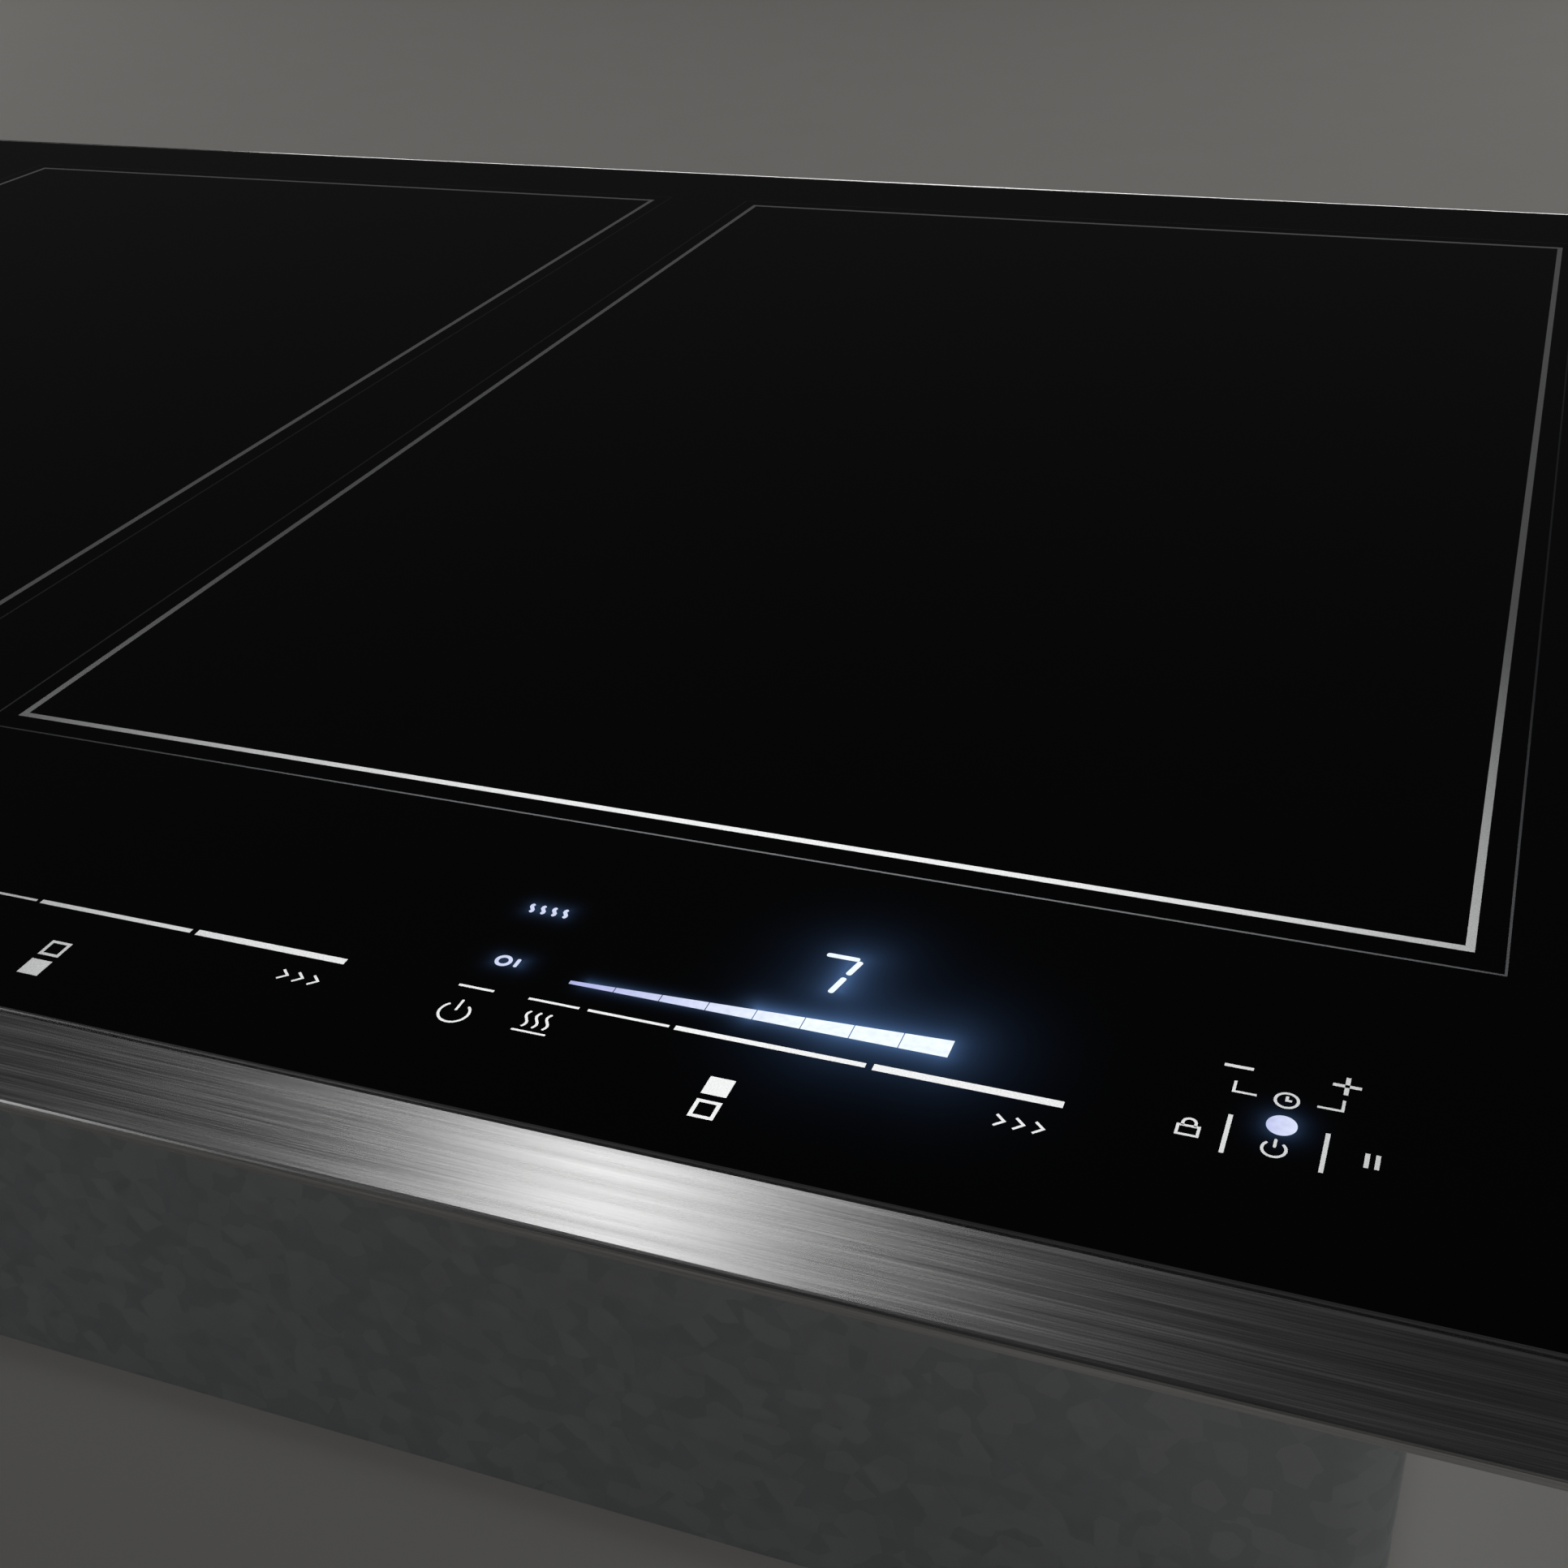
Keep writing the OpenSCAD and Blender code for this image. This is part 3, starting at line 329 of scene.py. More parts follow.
def solder_mask():
    """Glass-epoxy board with green solder mask: glossy, with the copper tracks showing through it."""
    made, tree, shader, place = start_finish("green_solder_mask", "#0f5a33", roughness=0.3, ior=1.52)
    tracks = add(tree, "ShaderNodeTexBrick", {
        "Vector": place, "Scale": 1 / (22 * MM), "Color1": linear("#0d5a31"), "Color2": linear("#127043"),
        "Mortar": linear("#0a4626"), "Mortar Size": 0.03, "Brick Width": 0.9, "Row Height": 0.13})
    tree.links.new(tracks.outputs["Color"], shader.inputs["Base Color"])
    relief(tree, shader, tracks.outputs["Fac"], -0.03 * MM, 0.8)
    return made


def pressed_mica():
    """Mica flakes pressed with resin: amber-grey, with flakes some millimetres across that glint."""
    made, tree, shader, place = start_finish("pressed_mica", "#b3a478", ior=1.58)
    flakes = cells(tree, place, 4 * MM)
    tree.links.new(ranged(tree, flakes["Red"], 0.22, 0.5), shader.inputs["Roughness"])
    tint(tree, shader, flakes["Green"], "#9d8d62", "#c9bb90")
    return made


def sintered_ferrite():
    """Manganese-zinc ferrite, pressed and sintered: charcoal, with a dry fine grain."""
    return grained("sintered_ferrite", "#232428", "#37383d", (0.5, 0.75), 0.7 * MM, 0.03 * MM, ior=1.8)


def litz_copper(centre):
    """Litz wire, enamelled copper strands laid together: reddish bronze with fine slanted strands, with painted
    shade darkening the grooves between them.
    """
    made, tree, shader, place = start_finish("litz_copper", "#a4602c", metallic=1.0, roughness=0.34)
    place = vector_maths(tree, "SUBTRACT", place, centre)
    parts = add(tree, "ShaderNodeSeparateXYZ", {"Vector": place}).outputs
    # Strands cross the wire at a slant: so many to each turn, and one every 1.4 mm across it.
    strands, spacing = 170.0, 1.4 * MM
    turns = maths(tree, "MULTIPLY", maths(tree, "ARCTAN2", parts["Y"], parts["X"]), strands)
    across = maths(tree, "MULTIPLY", vector_maths(tree, "LENGTH", place), 2 * pi / spacing)
    height = ranged(tree, maths(tree, "SINE", maths(tree, "ADD", turns, across)), 0.0, 1.0, -1.0, 1.0)
    # The tone follows the strands' relief: dark in the grooves between strands, light on their crowns. The dark
    # in the grooves is painted shade.
    tint(tree, shader, height, "#7d4420", "#bd7a3c")
    relief(tree, shader, height, 0.12 * MM, 0.8)
    return made


def fired_ink(name, dark, light):
    """Ceramic ink, screen printed and fired into the glass: satin with a fine speckle. Thinned, it is a
    dark grey that only just shows."""
    return grained(name, dark, light, (0.42, 0.6), 0.25 * MM, detail=2.0, ior=1.5)


def lit_lens(name, start, end):
    """A light guide lit from below by white diodes: blue-white and dim at x = start, white at x = end,
    with the faint mottle of the diffusing film."""
    display = bpy.context.scene.cooktop_display
    made, tree, shader, place = start_finish(name, "#2a2d33", roughness=0.4, ior=1.5)
    across = add(tree, "ShaderNodeSeparateXYZ", {"Vector": place}).outputs["X"]
    along = ranged(tree, across, 0.0, 1.0, start, end)
    tint(tree, shader, along, hex_of(display.edge), hex_of(display.colour), "Emission Color", 0.0, 1.0)
    film = ranged(tree, noise(tree, place, 1.2 * MM, 2.0), 0.8, 1.15)
    level = maths(tree, "MULTIPLY", film, ranged(tree, along, 0.75, 1.0))
    level = maths(tree, "MULTIPLY", level, display.strength)
    tree.links.new(level, shader.inputs["Emission Strength"])
    return made


# ---------------------------------------------------------------- shapes

def block(bm, low, high, ease=0.0, segments=1):
    """A box from its two corners, with eased edges if asked."""
    low, high = Vector(low), Vector(high)
    size = high - low
    place = Matrix.Translation((low + high) / 2) @ Matrix.Diagonal((*size, 1))
    verts = bmesh.ops.create_cube(bm, size=1, matrix=place)["verts"]
    if ease:
        edges = {e for v in verts for e in v.link_edges}
        bmesh.ops.bevel(bm, geom=list(edges), offset=ease, segments=segments, profile=0.5, affect="EDGES",
                        material=-1)


def drum(bm, foot, radius, length, segments=32, axis=(0, 0, 1), top=None, ease=0.0):
    """A round or many-sided bar that stands on foot and points along axis."""
    turn = Vector((0, 0, 1)).rotation_difference(Vector(axis)).to_matrix().to_4x4()
    place = Matrix.Translation(foot) @ turn @ Matrix.Translation((0, 0, length / 2))
    made = bmesh.ops.create_cone(bm, cap_ends=True, segments=segments, radius1=radius,
                                 radius2=radius if top is None else top, depth=length, matrix=place)["verts"]
    if ease:
        rims = [e for e in {e for v in made for e in v.link_edges} if len(e.link_faces) == 2
                and any(len(f.verts) > 4 for f in e.link_faces)]
        bmesh.ops.bevel(bm, geom=rims, offset=ease, segments=2, profile=0.5, affect="EDGES", material=-1)


def ring(bm, x, y, z, inner, outer, height, steps=48):
    """A flat ring, spun from its section."""
    section = [(inner, 0), (outer, 0), (outer, height), (inner, height)]
    verts = [bm.verts.new((x + r, y, z + h)) for r, h in section]
    edges = [bm.edges.new((verts[k], verts[(k + 1) % 4])) for k in range(4)]
    bmesh.ops.spin(bm, geom=verts + edges, cent=(x, y, z), axis=(0, 0, 1), angle=2 * pi, steps=steps,
                   use_merge=True)


def thicken(bm, faces, height):
    """Gives flat faces a thickness, upwards."""
    made = bmesh.ops.extrude_face_region(bm, geom=faces)
    up = [v for v in made["geom"] if isinstance(v, bmesh.types.BMVert)]
    bmesh.ops.translate(bm, verts=up, vec=(0, 0, height))


def stroke(bm, points, width, base, height, closed=False, rounded=False):
    """A flat mark of one width along points, mitred at its bends, extruded to a height."""
    points = [Vector((p[0], p[1])) for p in points]
    count = len(points)
    order = list(range(count)) + ([0] if closed else [])
    rails = []
    for i in order:
        here = points[i]
        back = here - points[i - 1] if (i or closed) else points[1] - here
        on = points[(i + 1) % count] - here if (i < count - 1 or closed) else back
        back, on = back.normalized(), on.normalized()
        mid = (back + on).normalized()
        side = Vector((-mid.y, mid.x)) * (width / 2 / max(mid.dot(on), 0.35))
        rails.append((here + side, here - side))
    known = set(bm.faces)
    edge = bm.edges.new([bm.verts.new((*p, base)) for p in rails[0]])
    ends = list(edge.verts)
    start = edge.verts[0]
    for left, right in rails[1:]:
        was = start.co.copy()
        made = bmesh.ops.extrude_edge_only(bm, edges=[edge])["geom"]
        edge = next(g for g in made if isinstance(g, bmesh.types.BMEdge))
        start, other = sorted(edge.verts, key=lambda v: (v.co - was).length)
        start.co, other.co = (*left, base), (*right, base)
    ends += list(edge.verts)
    if closed:
        bmesh.ops.remove_doubles(bm, verts=ends, dist=1e-7)
    elif rounded:
        bmesh.ops.bevel(bm, geom=ends, offset=width * 0.42, segments=4, profile=0.5, affect="VERTICES",
                        material=-1)
    thicken(bm, [f for f in bm.faces if f not in known], height)


def arc(x, y, radius, start, end, steps=24):
    """Points along an arc, angles in degrees."""
    angles = [radians(start + (end - start) * i / steps) for i in range(steps + 1)]
    return [(x + radius * cos(a), y + radius * sin(a)) for a in angles]


def turned(x, y, radius, angle, z):
    """A point at an angle round an upright axis."""
    return x + radius * cos(angle), y + radius * sin(angle), z


def spring_path(x, y, radius, low, high, closed_pitch, turns=5, per_turn=16):
    """A compression spring: its first and last turn lie flat, the rest are open."""
    count = turns * per_turn
    rise = [closed_pitch / per_turn if i < per_turn or i >= count - per_turn else 0 for i in range(count)]
    open_rise = (high - low - sum(rise)) / (count - 2 * per_turn)
    points, z = [], low
    for i in range(count + 1):
        a = 2 * pi * i / per_turn
        points.append(turned(x, y, radius, a, z))
        if i < count:
            z += rise[i] or open_rise
    return points


def helix_on_ring(x, y, z, ring_r, tube_r, turns, per_turn=14):
    """A wire wound round a ring core, leaving a gap where its two ends part."""
    count = turns * per_turn
    points = []
    for i in range(count + 1):
        along, around = radians(15 + 330 * i / count), 2 * pi * i / per_turn
        out = ring_r + tube_r * cos(around)
        points.append(turned(x, y, out, along, z + tube_r * sin(around)))
    return points


def sweep(bm, paths, radius, sides):
    """Round wire along each path."""
    curve = bpy.data.curves.new("wire", "CURVE")
    curve.dimensions = "3D"
    curve.bevel_depth = radius
    curve.bevel_resolution = sides
    curve.use_fill_caps = True
    for path in paths:
        spline = curve.splines.new("POLY")
        spline.points.add(len(path) - 1)
        for point, place in zip(spline.points, path):
            point.co = (*place, 1)
    holder = bpy.data.objects.new("wire", curve)
    mesh = bpy.data.meshes.new_from_object(holder)
    bm.from_mesh(mesh)
    bmesh.ops.remove_doubles(bm, verts=bm.verts, dist=1e-7)
    bpy.data.objects.remove(holder)
    bpy.data.meshes.remove(mesh)
    bpy.data.curves.remove(curve)


def make_piece(name, bm, finish, body=ROOT, replaces=(), smooth=False):
    """Turns the mesh into a piece that rides on a body; finish is a material or the name of one."""
    bmesh.ops.recalc_face_normals(bm, faces=bm.faces)
    mesh = bpy.data.meshes.new(name)
    bm.to_mesh(mesh)
    bm.free()
    mesh.materials.append(bpy.data.materials[finish] if isinstance(finish, str) else finish)
    if smooth:
        mesh.shade_smooth()
        mesh.set_sharp_from_angle(angle=radians(35))
    piece = bpy.data.objects.new(name, mesh)
    bpy.context.scene.collection.objects.link(piece)
    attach(piece, body)
    if replaces:
        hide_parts(*replaces)
    return piece


def loose_boxes(node):
    """The boxes of the separate solids in one frame node."""
    bm = bmesh.new()
    bm.from_mesh(frame["nodes"][node].data)
    bmesh.ops.remove_doubles(bm, verts=bm.verts, dist=1e-6)
    left, boxes = set(bm.verts), []
    while left:
        first = left.pop()
        island, todo = [first], [first]
        while todo:
            for edge in todo.pop().link_edges:
                for vert in edge.verts:
                    if vert in left:
                        left.remove(vert)
                        island.append(vert)
                        todo.append(vert)
        axes = list(zip(*(v.co for v in island)))
        boxes.append((Vector(map(min, axes)), Vector(map(max, axes))))
    bm.free()
    return sorted(boxes, key=lambda b: tuple(round(c, 5) for c in (*b[0], *b[1])))


# ---------------------------------------------------------------- layout of the glass

def zone_right():
    """X of the right line of the right zone frame."""
    return GLASS_HIGH[0] - bpy.context.scene.cooktop_print.zone_margin


def spot(x, y):
    """A place on the glass: mm from the right zone line, and mm behind the front edge."""
    return zone_right() + x * MM, GLASS_LOW[1] + y * MM


def zone_centres():
    """X of the three zone frames, right to left."""
    marks = bpy.context.scene.cooktop_print
    right = zone_right() - marks.zone_w / 2
    return right, 0.0, -right


# Middle of the slider group that belongs to a zone, in mm from the right zone line
RIGHT_SLIDER = -95.0
SLIDER_PITCH = 112.2


def slider_shifts():
    """How far each slider group stands from the right one, in mm, and which squares its sign fills."""
    _, middle, left = (x / MM for x in zone_centres())
    home = zone_right() / MM + RIGHT_SLIDER
    pair = SLIDER_PITCH / 2
    return [
        (0.0, "rear"), (-SLIDER_PITCH, "front"), (middle - home, "whole"),
        (left + pair - home, "rear"), (left - pair - home, "front"),
    ]


# The power bar: a wedge of segments that grow to the right
BAR_LEFT, BAR_STEP, BAR_GAP = -125.7, 7.38, 0.16
BAR_BASE, BAR_LOW_H, BAR_HIGH_H, BAR_COUNT = 30.75, 0.75, 3.85, 8


def bar_height(x):
    """Height of the power bar at x, in mm."""
    return BAR_LOW_H + (BAR_HIGH_H - BAR_LOW_H) * (x - BAR_LEFT) / (BAR_STEP * BAR_COUNT)


def lit_areas():
    """Boxes on the glass that are lit from below, how bright the glass is there, and how far that reaches."""
    end = BAR_LEFT + BAR_STEP * bpy.context.scene.cooktop_display.level
    middle = (BAR_LEFT + end) / 2
    return [
        (spot(BAR_LEFT + 3, BAR_BASE + 0.4), spot(middle, BAR_BASE + 1.2), 0.16, 0.7),
        (spot(middle, BAR_BASE + 0.8), spot(end - 1, BAR_BASE + bar_height(end) - 1.2), 0.42, 1.3),
        (spot(middle + 14, BAR_BASE + 1.2), spot(end - 2, BAR_BASE + 2.2), 0.20, 4.5),
        (spot(-87.2, 41.0), spot(-86.0, 48.8), 0.22, 1.4),
        (spot(-86.4, 43.0), spot(-85.6, 48.6), 0.14, 4.0),
        (spot(-140.0, 46.8), spot(-134.2, 48.2), 0.10, 0.9),
        (spot(-138.6, 32.6), spot(-134.6, 33.8), 0.10, 0.9),
        (spot(-20.9, 29.8), spot(-20.1, 30.6), 0.35, 1.1),
    ]


# ---------------------------------------------------------------- signs

def sign_power(pen, x, y, size):
    """A ring open at the top with a bar in the gap."""
    pen(arc(x, y - size * 0.06, size * 0.42, 130, 410), rounded=True)
    pen([(x, y + size * 0.02), (x, y + size * 0.5)], rounded=True)


def sign_warm(pen, x, y, size):
    """Three waves of warm air over a line."""
    for k in (-1, 0, 1):
        left = x + k * size * 0.27
        pen([(left + size * 0.07 * sin(t * pi / 4), y - size * 0.16 + size * 0.075 * t) for t in range(9)],
            rounded=True)
    pen([(x - size * 0.45, y - size * 0.32), (x + size * 0.45, y - size * 0.32)], rounded=True)


def sign_boost(pen, x, y, size):
    """Three arrowheads to the right."""
    for k in (-1, 0, 1):
        left = x + k * size * 0.32 - size * 0.1
        pen([(left, y - size * 0.14), (left + size * 0.15, y), (left, y + size * 0.14)])


def sign_lock(pen, x, y, size):
    """A padlock."""
    half, low = size * 0.36, y - size * 0.42
    top, bow = y + size * 0.06, half * 0.62
    pen([(x - half, low), (x + half, low), (x + half, top), (x - half, top)], closed=True)
    pen([(x - bow, top)] + arc(x, y + size * 0.22, bow, 180, 0, 12) + [(x + bow, top)])


def sign_pause(pen, x, y, size):
    """Two upright bars."""
    for k in (-1, 1):
        pen([(x + k * size * 0.17, y - size * 0.36), (x + k * size * 0.17, y + size * 0.36)])


def sign_clock(pen, x, y, size):
    """A clock face with two hands."""
    pen(arc(x, y, size * 0.45, 0, 345, 22), closed=True)
    pen([(x, y + size * 0.27), (x, y), (x + size * 0.2, y)])


def sign_squares(bm, x, y, filled, base, height, side=3.8, gap=1.2, line=0.6):
    """Two stacked squares; the one for this zone is filled."""
    for row, name in ((0, "front"), (1, "rear")):
        low = y + row * (side + gap)
        if filled in (name, "whole"):
            block(bm, (*spot(x, low), base), (*spot(x + side, low + side), base + height))
        else:
            ease = line / 2
            corners = [spot(x + ease, low + ease), spot(x + side - ease, low + ease),
                       spot(x + side - ease, low + side - ease), spot(x + ease, low + side - ease)]
            stroke(bm, corners, line * MM, base, height, closed=True)


def pen_for(bm, width, base, height):
    """A pen that draws strokes of one width, in mm from the right zone line."""
    def pen(points, **how):
        stroke(bm, [spot(*p) for p in points], width * MM, base, height, **how)
    return pen


# ---------------------------------------------------------------- operators: printed and lit marks

class COOKTOP_OT_zone_frames(bpy.types.Operator):
    """Prints the three zone frames and the fine outline around each"""

    bl_idname = "cooktop.zone_frames"
    bl_label = "Zone Frames"

    def execute(self, context):
        marks = context.scene.cooktop_print
        front = GLASS_LOW[1] + marks.zone_front
        speckle = hex_of([c * 0.915 for c in marks.ink_colour])
        ink = fired_ink("fired_ceramic_ink", speckle, hex_of(marks.ink_colour))
        thin_ink = fired_ink("thin_fired_ceramic_ink", "#4c4f53", "#606367")
        for name, grow, width, finish in (("zone_frames", 0.0, marks.line_w, ink),
                                          ("zone_outlines", marks.outline_gap, marks.outline_w, thin_ink)):
            bm = bmesh.new()
            for x in zone_centres():
                half = marks.zone_w / 2 + grow
                low, high = front - grow, front + marks.zone_d + grow
                corners = [(x - half, low), (x + half, low), (x + half, high), (x - half, high)]
                stroke(bm, corners, width, GLASS_TOP, marks.ink_h, closed=True)
            make_piece(name, bm, finish)
        return {"FINISHED"}


class COOKTOP_OT_slider_marks(bpy.types.Operator):
    """Prints the slider bars and signs of the five zones"""

    bl_idname = "cooktop.slider_marks"
    bl_label = "Slider Marks"

    def execute(self, context):
        marks = context.scene.cooktop_print
        base, height = GLASS_TOP, marks.ink_h
        row = marks.row_y / MM
        # left end, right end and thickness of each bar of a slider
        bars = ((-141.3, -135.4, 0.5), (-129.6, -121.3, 0.5), (-119.9, -106.9, 0.55), (-106.0, -77.0, 1.0),
                (-75.9, -48.8, 1.4))
        bm = bmesh.new()
        pen = pen_for(bm, 0.42, base, height)
        for shift, filled in slider_shifts():
            for left, right, thick in bars:
                block(bm, (*spot(left + shift, row - thick / 2), base),
                      (*spot(right + shift, row + thick / 2), base + height))
            sign_power(pen, -138.7 + shift, 19.6, 5.6)
            sign_warm(pen, -126.0 + shift, 20.2, 6.2)
            sign_boost(pen, -53.3 + shift, 19.9, 8.4)
            sign_squares(bm, -96.8 + shift, 8.1, filled, base, height)
        make_piece("slider_marks", bm, "fired_ceramic_ink")
        return {"FINISHED"}


class COOKTOP_OT_key_marks(bpy.types.Operator):
    """Prints the timer keys and the lock, power and pause keys"""

    bl_idname = "cooktop.key_marks"
    bl_label = "Key Marks"

    def execute(self, context):
        marks = context.scene.cooktop_print
        base, height = GLASS_TOP, marks.ink_h
        bm = bmesh.new()
        fine = pen_for(bm, 0.42, base, height)
        bold = pen_for(bm, 0.62, base, height)
        fine([(-27.7, 37.7), (-27.7, 35.4), (-24.6, 35.4)])
        fine([(-16.6, 35.5), (-13.3, 35.5), (-13.3, 37.8)])
        sign_clock(fine, -20.6, 35.5, 3.4)
        bold([(-29.8, 40.8), (-25.8, 40.8)])
        bold([(-15.2, 40.9), (-11.4, 40.9)])
        bold([(-13.3, 39.0), (-13.3, 42.8)])
        for x in (-27.2, -14.5):
            bold([(x, 22.4), (x, 30.4)])
        sign_lock(fine, -32.1, 26.2, 3.9)
        sign_power(fine, -20.8, 25.4, 3.7)
        sign_pause(bold, -8.5, 26.5, 4.0)
        make_piece("key_marks", bm, "fired_ceramic_ink")
        return {"FINISHED"}


class COOKTOP_OT_lit_display(bpy.types.Operator):
    """Lights the power bar, the level digit, the two signs and the status diode"""

    bl_idname = "cooktop.lit_display"
    bl_label = "Lit Display"

    def execute(self, context):
        marks, display = context.scene.cooktop_print, context.scene.cooktop_display
        base, height = GLASS_TOP, marks.ink_h
        ends = [spot(x, 0)[0] for x in (BAR_LEFT, BAR_LEFT + BAR_STEP * 5, -165, -110, -26, -14)]
        bar_light = lit_lens("diffused_white_diode_bar", ends[0], ends[1])
        sign_light = lit_lens("diffused_blue_white_diodes", ends[2], ends[3])
        status = lit_lens("status_diode_lens", ends[4], ends[5])
        bm = bmesh.new()
        for i in range(display.level):
            left = BAR_LEFT + BAR_STEP * i + BAR_GAP
            right = BAR_LEFT + BAR_STEP * (i + 1)
            corners = [(left, BAR_BASE), (right, BAR_BASE), (right, BAR_BASE + bar_height(right)),
                       (left, BAR_BASE + bar_height(left))]
            face = bm.faces.new([bm.verts.new((*spot(*c), base)) for c in corners])
            thicken(bm, [face], height)
        make_piece("lit_power_bar", bm, bar_light)

        bm = bmesh.new()
        pen = pen_for(bm, 0.95, base, height)
        pen([(-91.0, 49.25), (-85.75, 49.25)], rounded=True)
        pen([(-85.4, 48.9), (-86.33, 45.15)], rounded=True)
        pen([(-86.5, 44.35), (-87.45, 40.2)], rounded=True)
        make_piece("lit_digit", bm, bar_light)

        bm = bmesh.new()
        pen = pen_for(bm, 0.62, base, height)
        for k in range(4):
            left = -140.0 + k * 1.95
            pen([(left + 0.3 * sin(t * pi / 3), 46.3 + 0.37 * t) for t in range(7)], rounded=True)
        make_piece("lit_heat_sign", bm, sign_light)

        bm = bmesh.new()
        pen = pen_for(bm, 0.6, base, height)
        pen(arc(-137.7, 33.15, 1.1, 0, 345, 22), closed=True)
        pen([(-135.4, 32.1), (-135.4, 34.2)], rounded=True)
        make_piece("lit_on_sign", bm, sign_light)

        bm = bmesh.new()
        lens = bmesh.ops.create_circle(bm, cap_ends=True, segments=40, radius=2.05 * MM,
                                       matrix=Matrix.Translation((*spot(-20.5, 30.2), base)))["verts"]
        thicken(bm, list({f for v in lens for f in v.link_faces}), height)
        make_piece("status_light", bm, status)
        return {"FINISHED"}


# ---------------------------------------------------------------- operators: hardware

def recessed_head(radius, height):
    """A pan head with a cross recess, standing on the origin and pointing up."""
    bm = bmesh.new()
    drum(bm, (0, 0, 0), radius, height, segments=28, top=radius * 0.9, ease=height * 0.28)
    body = bpy.data.meshes.new("head")
    bm.to_mesh(body)
    bm.free()
    bm = bmesh.new()
    arm, wide = radius * 0.56, radius * 0.13
    for low, high in (((-arm, -wide), (arm, wide)), ((-wide, -arm), (wide, arm))):
        block(bm, (*low, height * 0.35), (*high, height * 1.5))
    cross = bpy.data.meshes.new("cross")
    bm.to_mesh(cross)
    bm.free()
    head, cutter = bpy.data.objects.new("head", body), bpy.data.objects.new("cross", cross)
    for o in (head, cutter):
        bpy.context.scene.collection.objects.link(o)
    cut = head.modifiers.new("recess", "BOOLEAN")
    cut.operation, cut.object, cut.solver, cut.use_self = "DIFFERENCE", cutter, "EXACT", True
    graph = bpy.context.evaluated_depsgraph_get()
    made = bpy.data.meshes.new_from_object(head.evaluated_get(graph))
    for o in (head, cutter):
        bpy.data.objects.remove(o)
    return made


class COOKTOP_OT_screws(bpy.types.Operator):
    """Replaces the plain screws with pan heads that have a cross recess"""

    bl_idname = "cooktop.screws"
    bl_label = "Screws"

    def execute(self, context):
        finish = bright_metal()
        head_h, shank_r, point_h, point_r = 1.8 * MM, 1.75 * MM, 1.2 * MM, 0.5 * MM
        # Which way the heads face: outwards on the walls, down on the floor, up on the deck
        for node, facing in (("pan_screws", None), ("bracket_screws", None), ("cover_screws", -1),
                             ("deck_screws", 1)):
            bm = bmesh.new()
            head = None
            for low, high in loose_boxes(node):
                size, middle = high - low, (low + high) / 2
                along = max(range(3), key=lambda k: size[k])
                if size[along] < 3 * head_h:
                    raise RuntimeError(f"{node} holds a solid that is not a screw")
                out = facing or (1 if middle[along] > 0 else -1)
                axis = Vector([out if k == along else 0 for k in range(3)])
                radius = size[(along + 1) % 3] / 2
                seat = middle + axis * (size[along] / 2 - head_h)
                head = head or recessed_head(radius, head_h)
                turn = Vector((0, 0, 1)).rotation_difference(axis).to_matrix().to_4x4()
                copy = head.copy()
                copy.transform(Matrix.Translation(seat) @ turn)
                bm.from_mesh(copy)
                bpy.data.meshes.remove(copy)
                shank = size[along] - head_h - point_h
                drum(bm, seat, shank_r, shank, segments=16, axis=-axis)
                drum(bm, seat - axis * shank, shank_r, point_h, segments=16, axis=-axis, top=point_r)
            make_piece(node + "_cross_head", bm, finish, replaces=[node], smooth=True)
        return {"FINISHED"}


class COOKTOP_OT_clamp_screws(bpy.types.Operator):
    """Replaces the plain clamp screws with threaded ones"""

    bl_idname = "cooktop.clamp_screws"
    bl_label = "Clamp Screws"

    def execute(self, context):
        head_r, head_h, core, pitch, crest = 5.5 * MM, 4.5 * MM, 2.55 * MM, 1.0 * MM, 0.38 * MM
        plain, per_turn = 1.5 * MM, 18
        for side in ("left", "right"):
            low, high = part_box(f"clamp_screw_{side}")
            x, y = (low[0] + high[0]) / 2, (low[1] + high[1]) / 2
            bm = bmesh.new()
            foot, shank = low[2] + head_h, high[2] - low[2] - head_h
            drum(bm, (x, y, low[2]), head_r, head_h, segments=6, ease=0.35 * MM)
            drum(bm, (x, y, foot), core, shank, segments=28, ease=0.3 * MM)
            turns = int((shank - 2 * plain) / pitch)
            thread = [turned(x, y, core, 2 * pi * i / per_turn, foot + plain + pitch * i / per_turn)
                      for i in range(turns * per_turn + 1)]
            sweep(bm, [thread], crest, sides=1)
            make_piece(f"clamp_screw_{side}_threaded", bm, "zinc_plated_steel",
                       body=f"clamp_{side}", replaces=[f"clamp_screw_{side}"], smooth=True)
        return {"FINISHED"}


